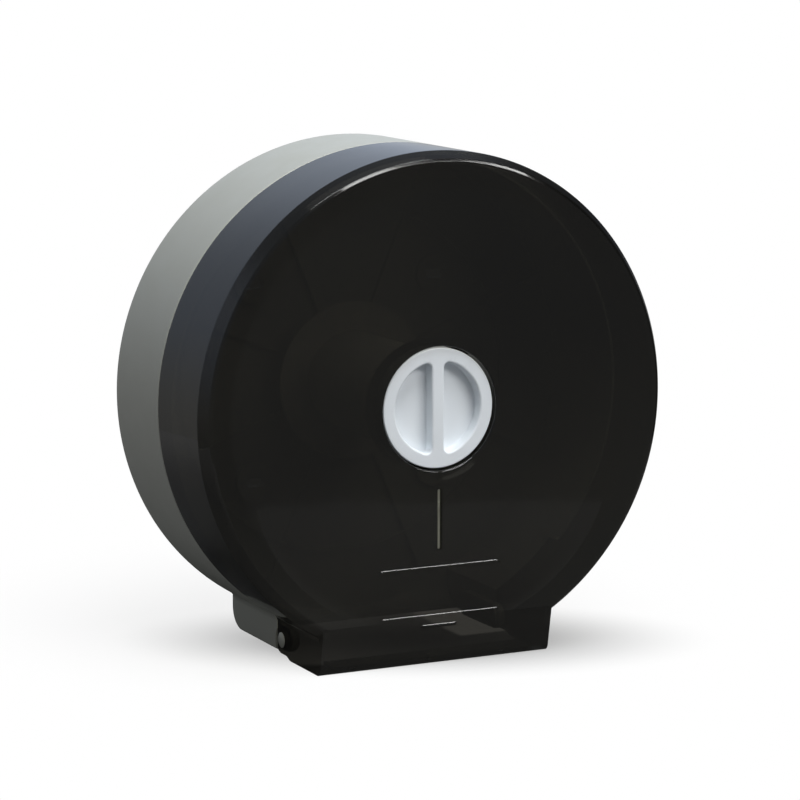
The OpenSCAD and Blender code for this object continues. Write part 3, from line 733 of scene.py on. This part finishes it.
shellValues = {
    "wall": 2.5, "depth": 62, "backRound": 4, "frontRound": 1.0, "low": -135.7, "heel": 12, "edge": 1.6,
    "lipRadius": 132.1, "lipWall": 1.8, "lipFront": 74, "lipEnd": -88, "lipEdge": 0.5, "ribCount": 8,
    "ribHalf": 0.9,
    "ribTop": 5.5, "ribEdge": 0.4, "ringRadius": 98, "bossRadius": 31, "bossTop": 6, "hubRadius": 28,
    "slotSpan": 55, "slotHalf": 2.5, "slotRun": 3, "padRadius": 11, "tabIn": 60.4, "tabOut": 64.4,
    "tabRadius": 6.8,
    "tabRoot": 30, "relief": 7.65,
}


def makeShellBody():
    v, c, wall = shellValues, caseValues, shellValues["wall"]
    depth, low, half, top = v["depth"], v["low"], c["footHalf"], c["fold"] + 4
    shell = turned("backShell", [
        (0, 0), (c["radius"], 0, v["backRound"]), (c["radius"], depth, v["frontRound"]), (0, depth),
    ], c["segments"], 8)
    outline = rounded([(0, top), (0, low, v["heel"]), (depth, low), (depth, top)], 12)
    foot = slab("shellFoot", outline, -half, half, acrossObject)
    easeEdges(foot, v["edge"], 4, lambda x, out, height: onSide(x) and out < depth - 0.1)
    unite(shell, foot, *footCorner("shellCorner", v["backRound"], depth))
    side, front = c["radius"] - wall, depth + 5
    inside = turned("shellInside", [(0, wall), (side, wall, 1.2), (side, front), (0, front)], c["segments"])
    heel = v["heel"] + wall
    mouth = slab("shellMouth", rounded([
        (wall, -half), (wall, low + wall, v["heel"] - wall), (heel, low + wall), (heel, low - 1),
        (front, low - 1), (front, -half),
    ], 10), wall - half, half - wall, acrossObject)
    return carve(shell, inside, mouth)


def makeShellLip():
    v, c = shellValues, caseValues
    out, inner, back, top = v["lipRadius"], v["lipRadius"] - v["lipWall"], v["depth"] - 5, v["depth"] - 0.1
    skirt = c["radius"] - v["wall"] + 0.4
    lip = turned("shellLip", [
        (inner, back), (skirt, back - v["wall"]), (skirt, top), (out, top),
        (out, v["lipFront"], v["lipEdge"]),
        (inner, v["lipFront"], v["lipEdge"]),
    ], c["segments"], 4)
    return carve(lip, block("lipCut", (-140, 140), (0, 120), (-200, v["lipEnd"])))


def wallSpots():
    span = shellValues["slotSpan"]
    return [(x, height) for x in (-span, span) for height in (-span, span)]


def makeShellRibs():
    # ribs that run out from the boss, a ring rib across them, the boss and the pads round the wall slots
    v, c = shellValues, caseValues
    half, top, edge = v["ribHalf"], v["ribTop"], v["ribEdge"]
    root = v["wall"] - half
    rib = block("rib", (v["hubRadius"], c["radius"] - v["wall"] / 2), (root, top), (-half, half))
    easeEdges(rib, edge, 2, lambda x, depth, height: depth > top - 0.1)
    ribs = grow(rib, ringTree, Count=v["ribCount"], First=180 / v["ribCount"])
    near, far = v["ringRadius"] - half, v["ringRadius"] + half
    ring = turned("ringRib", [(near, root), (far, root), (far, top, edge), (near, top, edge)], 192, 3)
    unite(ribs, ring, solidRound("boss", v["bossRadius"], root, v["bossTop"], 0.6, 120, 3))
    for x, height in wallSpots():
        unite(ribs, shifted(solidRound("pad", v["padRadius"], root, top, 0.5, 64, 3), x, height))
    inner = c["footHalf"] - v["wall"]
    return carve(ribs, block("ribCut", (-inner, inner), (v["wall"], 60), (-270, c["fold"])))


def makeHingeTab():
    v, c, pin = shellValues, caseValues, caseValues["hinge"]
    top = pin[1] + v["tabRadius"]
    nose = arc(pin, v["tabRadius"], -pi / 2, pi / 2, 24)
    outline = [(v["tabRoot"], v["low"])] + nose + [(v["tabRoot"], top)]
    tab = easeEdges(slab("hingeTab", outline, v["tabIn"], v["tabOut"], acrossObject), 0.4, 2)
    across = (v["tabIn"], c["footHalf"] - v["wall"] / 2)
    unite(tab, block("tabRoot", across, (v["tabRoot"], v["depth"] - 4.25), (v["low"], top)))
    return tab, mirrored(tab)


def makeWallSlot(x, height):
    v, top = shellValues, shellValues["ribTop"]
    flare = [(-1, 0), (top - 0.6, 0), (top - 0.15, 0.2), (top, 0.5), (top + 1, 0.5)]
    layers = []
    for depth, out in flare:
        right = arc((x + v["slotRun"], height), v["slotHalf"] + out, -pi / 2, pi / 2, 12)
        left = arc((x - v["slotRun"], height), v["slotHalf"] + out, pi / 2, 1.5 * pi, 12)
        layers.append((depth, right + left))
    return loft("wallSlot", layers)


def makeEarRelief():
    v, c, pin = shellValues, caseValues, caseValues["hinge"]
    low, room = v["low"] - 4, v["relief"]
    outline = [(pin[0] - room, low), (pin[0] + room, low)] + arc(pin, room, 0, pi, 32)
    relief = slab("earRelief", outline, c["footHalf"] - 2.55, c["footHalf"] + 0.65, acrossObject)
    return relief, mirrored(relief)


def makeShell():
    v, c = shellValues, caseValues
    shell = makeShellBody()
    unite(shell, makeShellLip(), makeShellRibs(), *makeHingeTab())
    carve(shell, *makeEarRelief())
    carve(shell, *hingeBore(c["pinBore"], v["tabIn"] - 1, v["tabOut"] + 1))
    for x, height in wallSpots():
        carve(shell, makeWallSlot(x, height))
    carve(shell, screwHoles(postScrew, 0, 1, 8, 4, 24))
    return dress(shell, "back_shell")


knobValues = {
    "radius": 32, "base": 108, "top": 119.6, "edge": 0.7, "gripHalf": 3.5, "ring": 7, "corner": 3,
    "floor": 112.9,
    "scoop": 0.7, "barFillet": 0.8, "lip": 0.9, "layers": 26,
}
stemValues = {
    "shaft": 8, "shaftEnd": 100.7, "clipBack": 102.1, "clipFront": 103.2, "groove": 6.8, "neck": 5,
    "seat": 3.8,
    "seatFront": 88.6, "seatBack": 84.6, "flat": 3,
}


def hollowLoop(outer, near, corner):
    # half-moon on the right of the grip bar: outer radius, distance of its straight side, corner radius
    x = near + corner
    reach = outer - corner
    limit = acos(x / reach)
    z = reach * sin(limit)
    return (arc((0, 0), outer, -limit, limit, 36) + arc((x, z), corner, limit, pi, 12)[1:]
            + arc((x, -z), corner, pi, 2 * pi - limit, 12)[:-1])


def fillet(radius, above):
    # how far a rounding of that radius stands out at a height over its foot
    return radius - sqrt(max(0.0, radius ** 2 - max(0.0, radius - above) ** 2))


def makeFingerHollow():
    # its outer wall is scooped towards the floor, and its wall along the bar is steep with a tight fillet
    v, top, floor = knobValues, knobValues["top"], knobValues["floor"]
    outer, near = v["radius"] - v["ring"], v["gripHalf"]
    layers = []
    for k in range(-1, v["layers"] + 1):
        depth = top + 0.8 if k < 0 else top - (top - floor) * k / v["layers"]
        lip = fillet(v["lip"], top - depth)
        fall = min(top - depth, top - floor)
        above = max(0.0, depth - floor)
        edge = outer + lip - 0.06 * fall - fillet(v["scoop"], above)
        bar = near - lip + 0.05 * fall + fillet(v["barFillet"], above)
        layers.append((depth, hollowLoop(edge, bar, v["corner"] + lip * 0.8 - 0.1 * fall)))
    return loft("fingerHollow", layers[::-1])


def makeKnob():
    v, s = knobValues, stemValues
    knob = turned("lockKnob", [
        (0, s["seatBack"]), (s["seat"], s["seatBack"], 0.3), (s["seat"], s["seatFront"]),
        (s["neck"], s["seatFront"], 0.3), (s["neck"], s["shaftEnd"]), (s["shaft"], s["shaftEnd"], 0.5),
        (s["shaft"], s["clipBack"]), (s["groove"], s["clipBack"]), (s["groove"], s["clipFront"]),
        (s["shaft"], s["clipFront"]), (s["shaft"], v["base"], 0.4), (v["radius"], v["base"], 0.5),
        (v["radius"], v["top"], v["edge"]), (0, v["top"]),
    ], 180, 8)
    hollow = makeFingerHollow()
    carve(knob, mirrored(hollow), hollow)
    for side in (-1, 1):
        x = sorted((side * s["flat"], side * 3 * s["flat"]))
        carve(knob, block("seatFlat", x, (s["seatBack"] - 1, s["seatFront"] + 0.05), (-8, 8)))
    carve(knob, solidRound("camHole", 1.6, s["seatBack"] - 1, s["seatBack"] + 14))
    return dress(knob, "lock_knob", 34)


hubValues = {
    "bore": 17.05, "sleeve": 19.55, "back": 10.1, "front": 89, "flange": 44, "flangeBack": 12.5,
    "flangeFront": 14.7,
    "drum": 27.5, "drumWall": 2, "drumFront": 86, "nose": 4, "webs": 6, "webHalf": 1.0,
}


def makeHub():
    v, bore, sleeve, half = hubValues, hubValues["bore"], hubValues["sleeve"], hubValues["webHalf"]
    hub = turned("rollHub", [
        (bore, v["back"], 0.2), (sleeve, v["back"], 0.4), (sleeve, v["front"], 0.4), (bore, v["front"], 0.2),
    ], 120, 3)
    back, flange = v["flangeBack"], v["flangeFront"]
    plate = turned("hubFlange", [
        (bore + 1, back), (v["flange"], back, 0.9), (v["flange"], flange, 0.9), (bore + 1, flange),
    ], 160, 5)
    front, inner = v["drumFront"], v["drum"] - v["drumWall"]
    drum = turned("hubDrum", [
        (inner, back + 0.5), (v["drum"], back + 0.5), (v["drum"], front - v["nose"], 6),
        (v["drum"] - v["drumWall"] / 2, front, 0.4), (inner, front, 0.4),
    ], 160, 5)
    web = block("hubWeb", (bore + 1, v["drum"] - 1), (back + 0.5, front - 2), (-half, half))
    easeEdges(web, 0.4, 2, lambda x, depth, height: depth > front - 2.1)
    unite(hub, plate, drum, grow(web, ringTree, Count=v["webs"], First=0.0))
    return dress(hub, "roll_hub")


postValues = {"radius": 17, "bore": 11, "flange": 28, "back": 6, "flangeFront": 9, "front": 90.1}
postScrew = {"head": 3, "height": 2.2, "shank": 1.5, "seat": 9, "length": 7, "ring": 23}
keeperScrew = {"head": 2.6, "height": 1.8, "shank": 1.25, "seat": 91.8, "length": 12, "ring": 14}
camScrew = {"head": 4, "height": 2.4, "shank": 1.6, "seat": 83.6, "length": 14}
keeperValues = {"radius": 21, "back": 90.1, "front": 93.6, "slotHalf": 5.7, "slotLow": -12.6, "slotHigh": 9.6}


def screwHoles(values, clearance, low, high, count, segments=32):
    hole = solidRound("screwHole", values["shank"] + clearance, low, high, 0, segments)
    return grow(shifted(hole, values["ring"]), ringTree, Count=count, First=0.0)


def makePost():
    v, foot = postValues, postValues["flangeFront"]
    post = turned("spindlePost", [
        (0, v["back"]), (v["flange"], v["back"], 0.4), (v["flange"], foot, 0.7), (v["radius"], foot, 0.8),
        (v["radius"], v["front"], 0.4), (v["bore"], v["front"], 0.4), (v["bore"], foot, 1), (0, foot),
    ], 120, 4)
    keeperHoles = screwHoles(keeperScrew, 0, v["front"] - 12.1, v["front"] + 1, 2)
    carve(post, screwHoles(postScrew, 0.1, 0, 20, 4), keeperHoles)
    return dress(post, "spindle_post")


def makeKeeper():
    v, back, front = keeperValues, keeperValues["back"], keeperValues["front"]
    outline = [(0, back), (v["radius"], back, 0.4), (v["radius"], front, 1), (0, front)]
    keeper = turned("keeperCap", outline, 120, 5)
    flare = [(back - 1, 0), (front - 0.5, 0), (front, 0.5), (front + 1, 0.5)]
    slot = softStack("keeperSlot", 0, (v["slotHalf"], v["slotLow"], v["slotHigh"], 0.8), flare, 4)
    seat = dict(keeperScrew, shank=keeperScrew["head"])
    seats = screwHoles(seat, 0.3, keeperScrew["seat"], 100, 2)
    carve(keeper, slot, screwHoles(keeperScrew, 0.1, 80, 100, 2), seats)
    return dress(keeper, "keeper_cap")


def makeScrewTree():
    # turns a screw's profile, then sinks a cross into its head
    tree, given = startTree("crossHeadScrew", Segments=40, Recess=0.003, Slot=0.0007, Top=-0.01)
    lathe = {"node_tree": turningTree}
    screw = step(tree, "GeometryNodeGroup", lathe, Geometry=given["Geometry"], Segments=given["Segments"])
    centre = spotOf(tree, 0.0, given["Top"])
    cut = step(tree, "GeometryNodeMeshBoolean", {"operation": "DIFFERENCE", "solver": "EXACT"})
    wire(cut, Mesh_1=screw)
    for long in (0, 2):
        size = [given["Slot"], given["Recess"], given["Slot"]]
        size[long] = given["Recess"]
        bar = step(tree, "GeometryNodeMeshCube", Size=spotOf(tree, *size))
        wire(cut, Mesh_2=step(tree, "GeometryNodeSetPosition", Geometry=bar, Offset=centre))
    return closeTree(tree, given, cut)


screwTree = makeScrewTree()


def makeScrew(name, values, way=1):
    # way is 1 for a head that looks out of the wall, -1 for one that looks at it
    seat, head, shank = values["seat"], values["head"], values["shank"]
    top = seat + way * values["height"]
    end = seat - way * values["length"]
    profile = rounded([
        (0, end), (shank * 0.5, end), (shank, end + way * 1.2), (shank, seat), (head, seat, 0.15),
        (head, top, values["height"] * 0.45), (0, top),
    ], 5)
    recess = head * 1.1
    sizes = {"Recess": recess * mm, "Slot": head * 0.24 * mm, "Top": -(top + way * recess * 0.12) * mm}
    return grow(lineOfPoints(name, profile), screwTree, Segments=48, **sizes)


def makeScrews():
    for nodeName, values, count in (("spindle_screws", postScrew, 4), ("keeper_screws", keeperScrew, 2)):
        screw = shifted(makeScrew("screws", values), values["ring"])
        dress(grow(screw, ringTree, Count=count, First=0.0), nodeName, 40)
    dress(makeScrew("camScrew", camScrew, -1), "cam_screw", 40)


pinValues = {"radius": 4.2, "head": 5.6, "headBack": 58.9, "headFront": 60.4, "side": 67.5, "dome": 1.2}


def makeHingePins():
    v, (depth, height) = pinValues, caseValues["hinge"]
    domeRadius = (v["radius"] ** 2 + v["dome"] ** 2) / (2 * v["dome"])
    sweep = asin(v["radius"] / domeRadius)
    dome = arc((0, v["side"] + v["dome"] - domeRadius), domeRadius, pi / 2 - sweep, pi / 2, 10)
    profile = rounded([
        (0, v["headBack"]), (v["head"], v["headBack"], 0.4), (v["head"], v["headFront"]),
        (v["radius"], v["headFront"]),
    ]) + dome
    pin = grow(lineOfPoints("hingePin", profile), turningTree, Segments=72)
    place = Matrix.Translation(outOfWall(0, height, depth))
    moved(pin, place @ Matrix.Rotation(pi / 2, 4, "Z"))
    dress(mirrored(pin), "hinge_pin_left")
    dress(pin, "hinge_pin_right")


tearValues = {
    "teeth": 29, "pitch": 4.0, "width": 12.0, "toothHeight": 3.0, "thickness": 0.8, "front": 112.534,
    "seat": -135.6,
}
rivetValues = {"radius": 1.5, "head": 3, "headHeight": 1, "count": 3, "end": -138}


def makeTearBar():
    v, r = tearValues, rivetValues
    keys = {"Pitch": "pitch", "Width": "width", "Height": "toothHeight", "Thickness": "thickness"}
    sizes = {name: v[key] * mm for name, key in keys.items()}
    strip = grow(lineOfPoints("tearBar", []), stripTree, Teeth=v["teeth"], **sizes)
    dress(shifted(strip, 0, v["seat"], v["front"]), "tear_bar")
    seat = v["seat"] + v["thickness"]
    top = seat + r["headHeight"]
    profile = rounded([
        (0, r["end"]), (r["radius"], r["end"], 0.25), (r["radius"], seat), (r["head"], seat),
        (r["head"], top, 0.8),
        (0, top),
    ])
    rivet = grow(lineOfPoints("rivets", profile), turningTree, Segments=40)
    place = Matrix.Translation(outOfWall(0, 0, coverValues["rivetDepth"]))
    moved(rivet, place @ Matrix.Rotation(-pi / 2, 4, "X"))
    rivets = grow(rivet, rowTree, Count=r["count"], Pitch=coverValues["rivetPitch"] * mm)
    dress(rivets, "tear_bar_rivets")


makers = (
    makeCover, makeShell, makeKnob, makeHub, makePost, makeKeeper, makeScrews, makeHingePins, makeTearBar,
)
for maker in makers:
    maker()
    print("done:", maker.__name__)
for name, node in cadNodes.items():
    for place in node.material_slots:
        place.material = finishes[slotOfNode[name]]


worldValues = {
    "ambient": 0.22, "level": 0.355, "up": 0.50, "right": 0.08, "front": 1.0, "least": 0.16, "most": 0.68,
    "backGlow": 0.31, "backFrom": (-0.3, 0.2), "glowFrom": (0.3, 0.9), "glowFloor": (-0.14, 0.12),
    "ceiling": (0.45, 0.85), "ceilingLeft": -0.5, "ceilingRight": 0.4, "ceilingDark": (0.7, 0.45),
    "darkFrom": (0.46, 0.74), "darkest": 0.05, "low": (1, 1, 0.97), "high": (0.82, 0.93, 1.12),
    "horizon": (-0.2, 0.2), "throughSmoke": 0.10,
}
stageValues = {
    "floorZ": -0.1382, "floorRadius": 0.56, "pale": 0.95, "bounce": 0.13, "mirrored": 0.24, "mirrorFade": 0.2,
    "paintedShadowAt": (0.015, -0.060), "paintedShadowSize": (0.172, 0.095), "paintedShadowTurn": -25.85, "paintedShadowDepth": 0.85,
    "shadowAt": (0.0, 0.02), "shadowReach": 0.24, "shadowEdge": (0.3, 1), "shadowShare": 0.15,
    "outletAt": (0, -0.045), "outletSize": (0.1, 0.065), "outletEdge": (0.85, 1), "paintedLightFrom": (0.038, 0.043),
    "paintedLightBehind": (-0.070, -0.064), "paintedShadeLevel": 0.6,
}


def roomBehind(tree, dim):
    # the white room's brightness: full where it shows directly, dim behind one smoked wall, full behind two
    depth = step(tree, "ShaderNodeLightPath").outputs["Transparent Depth"]
    return calc(tree, "MAXIMUM", ease(tree, depth, 1, 2, 1, dim), ease(tree, depth, 3, 4))


def grey(level):
    return (level, level, level, 1)


def makeFloor():
    # a pale floor; a painted contact shadow, a soft ellipse under the part, lies on a clear sheet, so that
    # the opened cover shows where it hangs lower; for the light that reaches the part it is a dim table
    v = stageValues
    mesh = bpy.data.meshes.new("floor")
    ring = circle((0, 0), v["floorRadius"], 96)
    mesh.from_pydata([(x, y, v["floorZ"]) for x, y in ring], [], [tuple(range(len(ring)))])
    floor = linked("floor", mesh)
    material, tree, pale = startMaterial("paleFloor")
    wire(pale, Base_Color=grey(v["pale"]), Roughness=0.9, Specular_IOR_Level=0.0)
    place = step(tree, "ShaderNodeTexCoord").outputs["Object"]

    def distance(centre, size, turn=0.0):
        # 0 at the centre, 1 at the edge of an ellipse of that size
        around = step(
            tree, "ShaderNodeMapping", {"vector_type": "TEXTURE"}, Vector=place, Scale=(*size, 1),
            Location=(*centre, v["floorZ"]), Rotation=(0, 0, radians(turn)))
        away = around.outputs["Vector"]
        return step(tree, "ShaderNodeVectorMath", {"operation": "LENGTH"}, i0=away).outputs["Value"]

    # painted shadow: a soft dark ellipse under the part, fixed on the floor whatever the lamps do
    paintedShadow = distance(v["paintedShadowAt"], v["paintedShadowSize"], v["paintedShadowTurn"])
    paintedShadow = ease(tree, paintedShadow, 0, 1, 1 - v["paintedShadowDepth"], 1)
    sheet = step(tree, "ShaderNodeBsdfTransparent", Color=paintedShadow)
    # seen through the smoked cover the floor glows at full strength round the outlet, with a painted light patch
    outlet = ease(tree, distance(v["outletAt"], v["outletSize"]), *v["outletEdge"], 1, 0)
    # on its right and painted shade, from the painted shadow, everywhere else
    along = step(tree, "ShaderNodeSeparateXYZ", i0=place).outputs
    lit = ease(tree, along["X"], *v["paintedLightFrom"])
    lit = times(tree, lit, ease(tree, along["Y"], *v["paintedLightBehind"]))
    colour = calc(tree, "MAXIMUM", times(tree, paintedShadow, v["paintedShadeLevel"]), lit)
    strength = calc(tree, "MAXIMUM", outlet, roomBehind(tree, worldValues["throughSmoke"]))
    # the floor behind the smoke glows with this painted light and shade, though it is no lamp
    behind = step(tree, "ShaderNodeEmission", Color=colour, Strength=strength)
    throughSmoke = ease(tree, step(tree, "ShaderNodeLightPath").outputs["Transparent Depth"], 1, 2)
    reach = (v["shadowReach"], v["shadowReach"])
    share = ease(tree, distance(v["shadowAt"], reach), *v["shadowEdge"], v["shadowShare"], 0)
    seen = mixShaders(tree, throughSmoke, mixShaders(tree, share, sheet, pale), behind)
    table = step(tree, "ShaderNodeBsdfDiffuse", Color=grey(v["bounce"]))
    # to glossy rays the floor is a dim table near the part and glows further out: a painted reflection of the
    # room
    room = step(tree, "ShaderNodeEmission", Color=grey(1), Strength=v["mirrored"])
    rim = distance((0, 0), (v["floorRadius"], v["floorRadius"]))
    mirror = mixShaders(tree, ease(tree, rim, v["mirrorFade"] / v["floorRadius"], 1), table, room)
    unseen = mixShaders(tree, rayKinds(tree, "Is Glossy Ray"), table, mirror)
    above = mixShaders(tree, rayKinds(tree, "Is Camera Ray", "Is Transmission Ray"), unseen, seen)
    clear = step(tree, "ShaderNodeBsdfTransparent", Color=grey(1))
    below = step(tree, "ShaderNodeNewGeometry").outputs["Backfacing"]
    passing = calc(tree, "MAXIMUM", below, rayKinds(tree, "Is Shadow Ray"))
    wire(tree.nodes["Material Output"], Surface=mixShaders(tree, passing, above, clear))
    mesh.materials.append(material)


def makeWorld():
    # white behind the part; its gloss mirrors a room that is bright above and behind and dims to the floor,
    # the front and the right
    v = worldValues
    world = bpy.data.worlds.new("studio")
    scene.world = world
    world.use_nodes = True
    tree = world.node_tree
    tree.nodes.clear()
    out = step(tree, "ShaderNodeOutputWorld")
    way = step(tree, "ShaderNodeSeparateXYZ", i0=step(tree, "ShaderNodeTexCoord").outputs["Generated"])
    x, y, z = way.outputs["X"], way.outputs["Y"], way.outputs["Z"]
    level = calc(tree, "MULTIPLY_ADD", z, v["up"], v["level"])
    level = calc(tree, "MULTIPLY_ADD", x, v["right"], level)
    level = calc(tree, "MULTIPLY_ADD", calc(tree, "MINIMUM", y, 0.0), v["front"], level)
    level = calc(tree, "MINIMUM", calc(tree, "MAXIMUM", level, v["least"]), v["most"])
    glow = times(tree, ease(tree, x, *v["backFrom"]), ease(tree, y, *v["glowFrom"]))
    glow = times(tree, glow, ease(tree, z, *v["glowFloor"]))
    level = calc(tree, "MULTIPLY_ADD", glow, v["backGlow"], level)
    dark = ease(tree, x, v["ceilingLeft"], v["ceilingRight"], *v["ceilingDark"])
    dark = times(tree, dark, ease(tree, z, *v["ceiling"]))
    level = times(tree, level, calc(tree, "SUBTRACT", 1.0, dark))
    level = times(tree, level, ease(tree, x, *v["darkFrom"], 1, v["darkest"]))
    colour = mixColour(tree, ease(tree, z, *v["horizon"]), v["low"], v["high"])
    ambient = step(tree, "ShaderNodeBackground", Color=(0.95, 0.97, 1, 1), Strength=v["ambient"])
    room = step(tree, "ShaderNodeBackground", Color=colour, Strength=level)
    white = step(tree, "ShaderNodeBackground", Color=grey(1), Strength=roomBehind(tree, v["throughSmoke"]))
    lighting = mixShaders(tree, rayKinds(tree, "Is Glossy Ray"), ambient, room)
    direct = rayKinds(tree, "Is Camera Ray", "Is Transmission Ray")
    wire(out, Surface=mixShaders(tree, direct, lighting, white))


lamps = {
    "topSoftbox": {
        "at": (0.05, -0.50, 1.25), "to": (0, -0.05, 0), "size": (0.9, 0.5), "power": 13.5,
        "colour": (0.97, 0.985, 1), "roll": 0,
    },
    "frontPanel": {
        "at": (0.82, -1.57, 1.03), "to": (0, -0.06, 0), "size": (1.4, 0.36), "power": 20,
        "colour": (1, 0.99, 0.98), "roll": -10,
    },
}


def makeLamps():
    for name, v in lamps.items():
        light = bpy.data.lights.new(name, "AREA")
        light.shape = "RECTANGLE"
        light.size, light.size_y = v["size"]
        light.energy = v["power"]
        light.color = v["colour"]
        lamp = linked(name, light)
        lamp.location = v["at"]
        aim = (Vector(v["to"]) - Vector(v["at"])).to_track_quat("-Z", "Y")
        lamp.rotation_euler = (aim.to_matrix() @ Matrix.Rotation(radians(v["roll"]), 3, "Z")).to_euler()


cameraValues = {
    "azimuth": -25.85, "elevation": 9.38, "distance": 1.75, "target": (0, -0.062, 0), "lens": 146.0,
    "shift": (0.012, -0.0099),
}


def makeCamera():
    v = cameraValues
    data = bpy.data.cameras.new("photoCamera")
    data.sensor_width = 36
    data.lens = v["lens"]
    data.shift_x, data.shift_y = v["shift"]
    data.clip_start = 0.05
    camera = linked("photoCamera", data)
    a = radians(v["azimuth"])
    e = radians(v["elevation"])
    away = Vector((sin(a) * cos(e), -cos(a) * cos(e), sin(e)))
    camera.location = Vector(v["target"]) + away * v["distance"]
    camera.rotation_euler = (-away).to_track_quat("-Z", "Y").to_euler()
    scene.camera = camera


makeFloor()
makeWorld()
makeLamps()
makeCamera()
scene.view_settings.view_transform = "Standard"
print("stage, light and camera set")
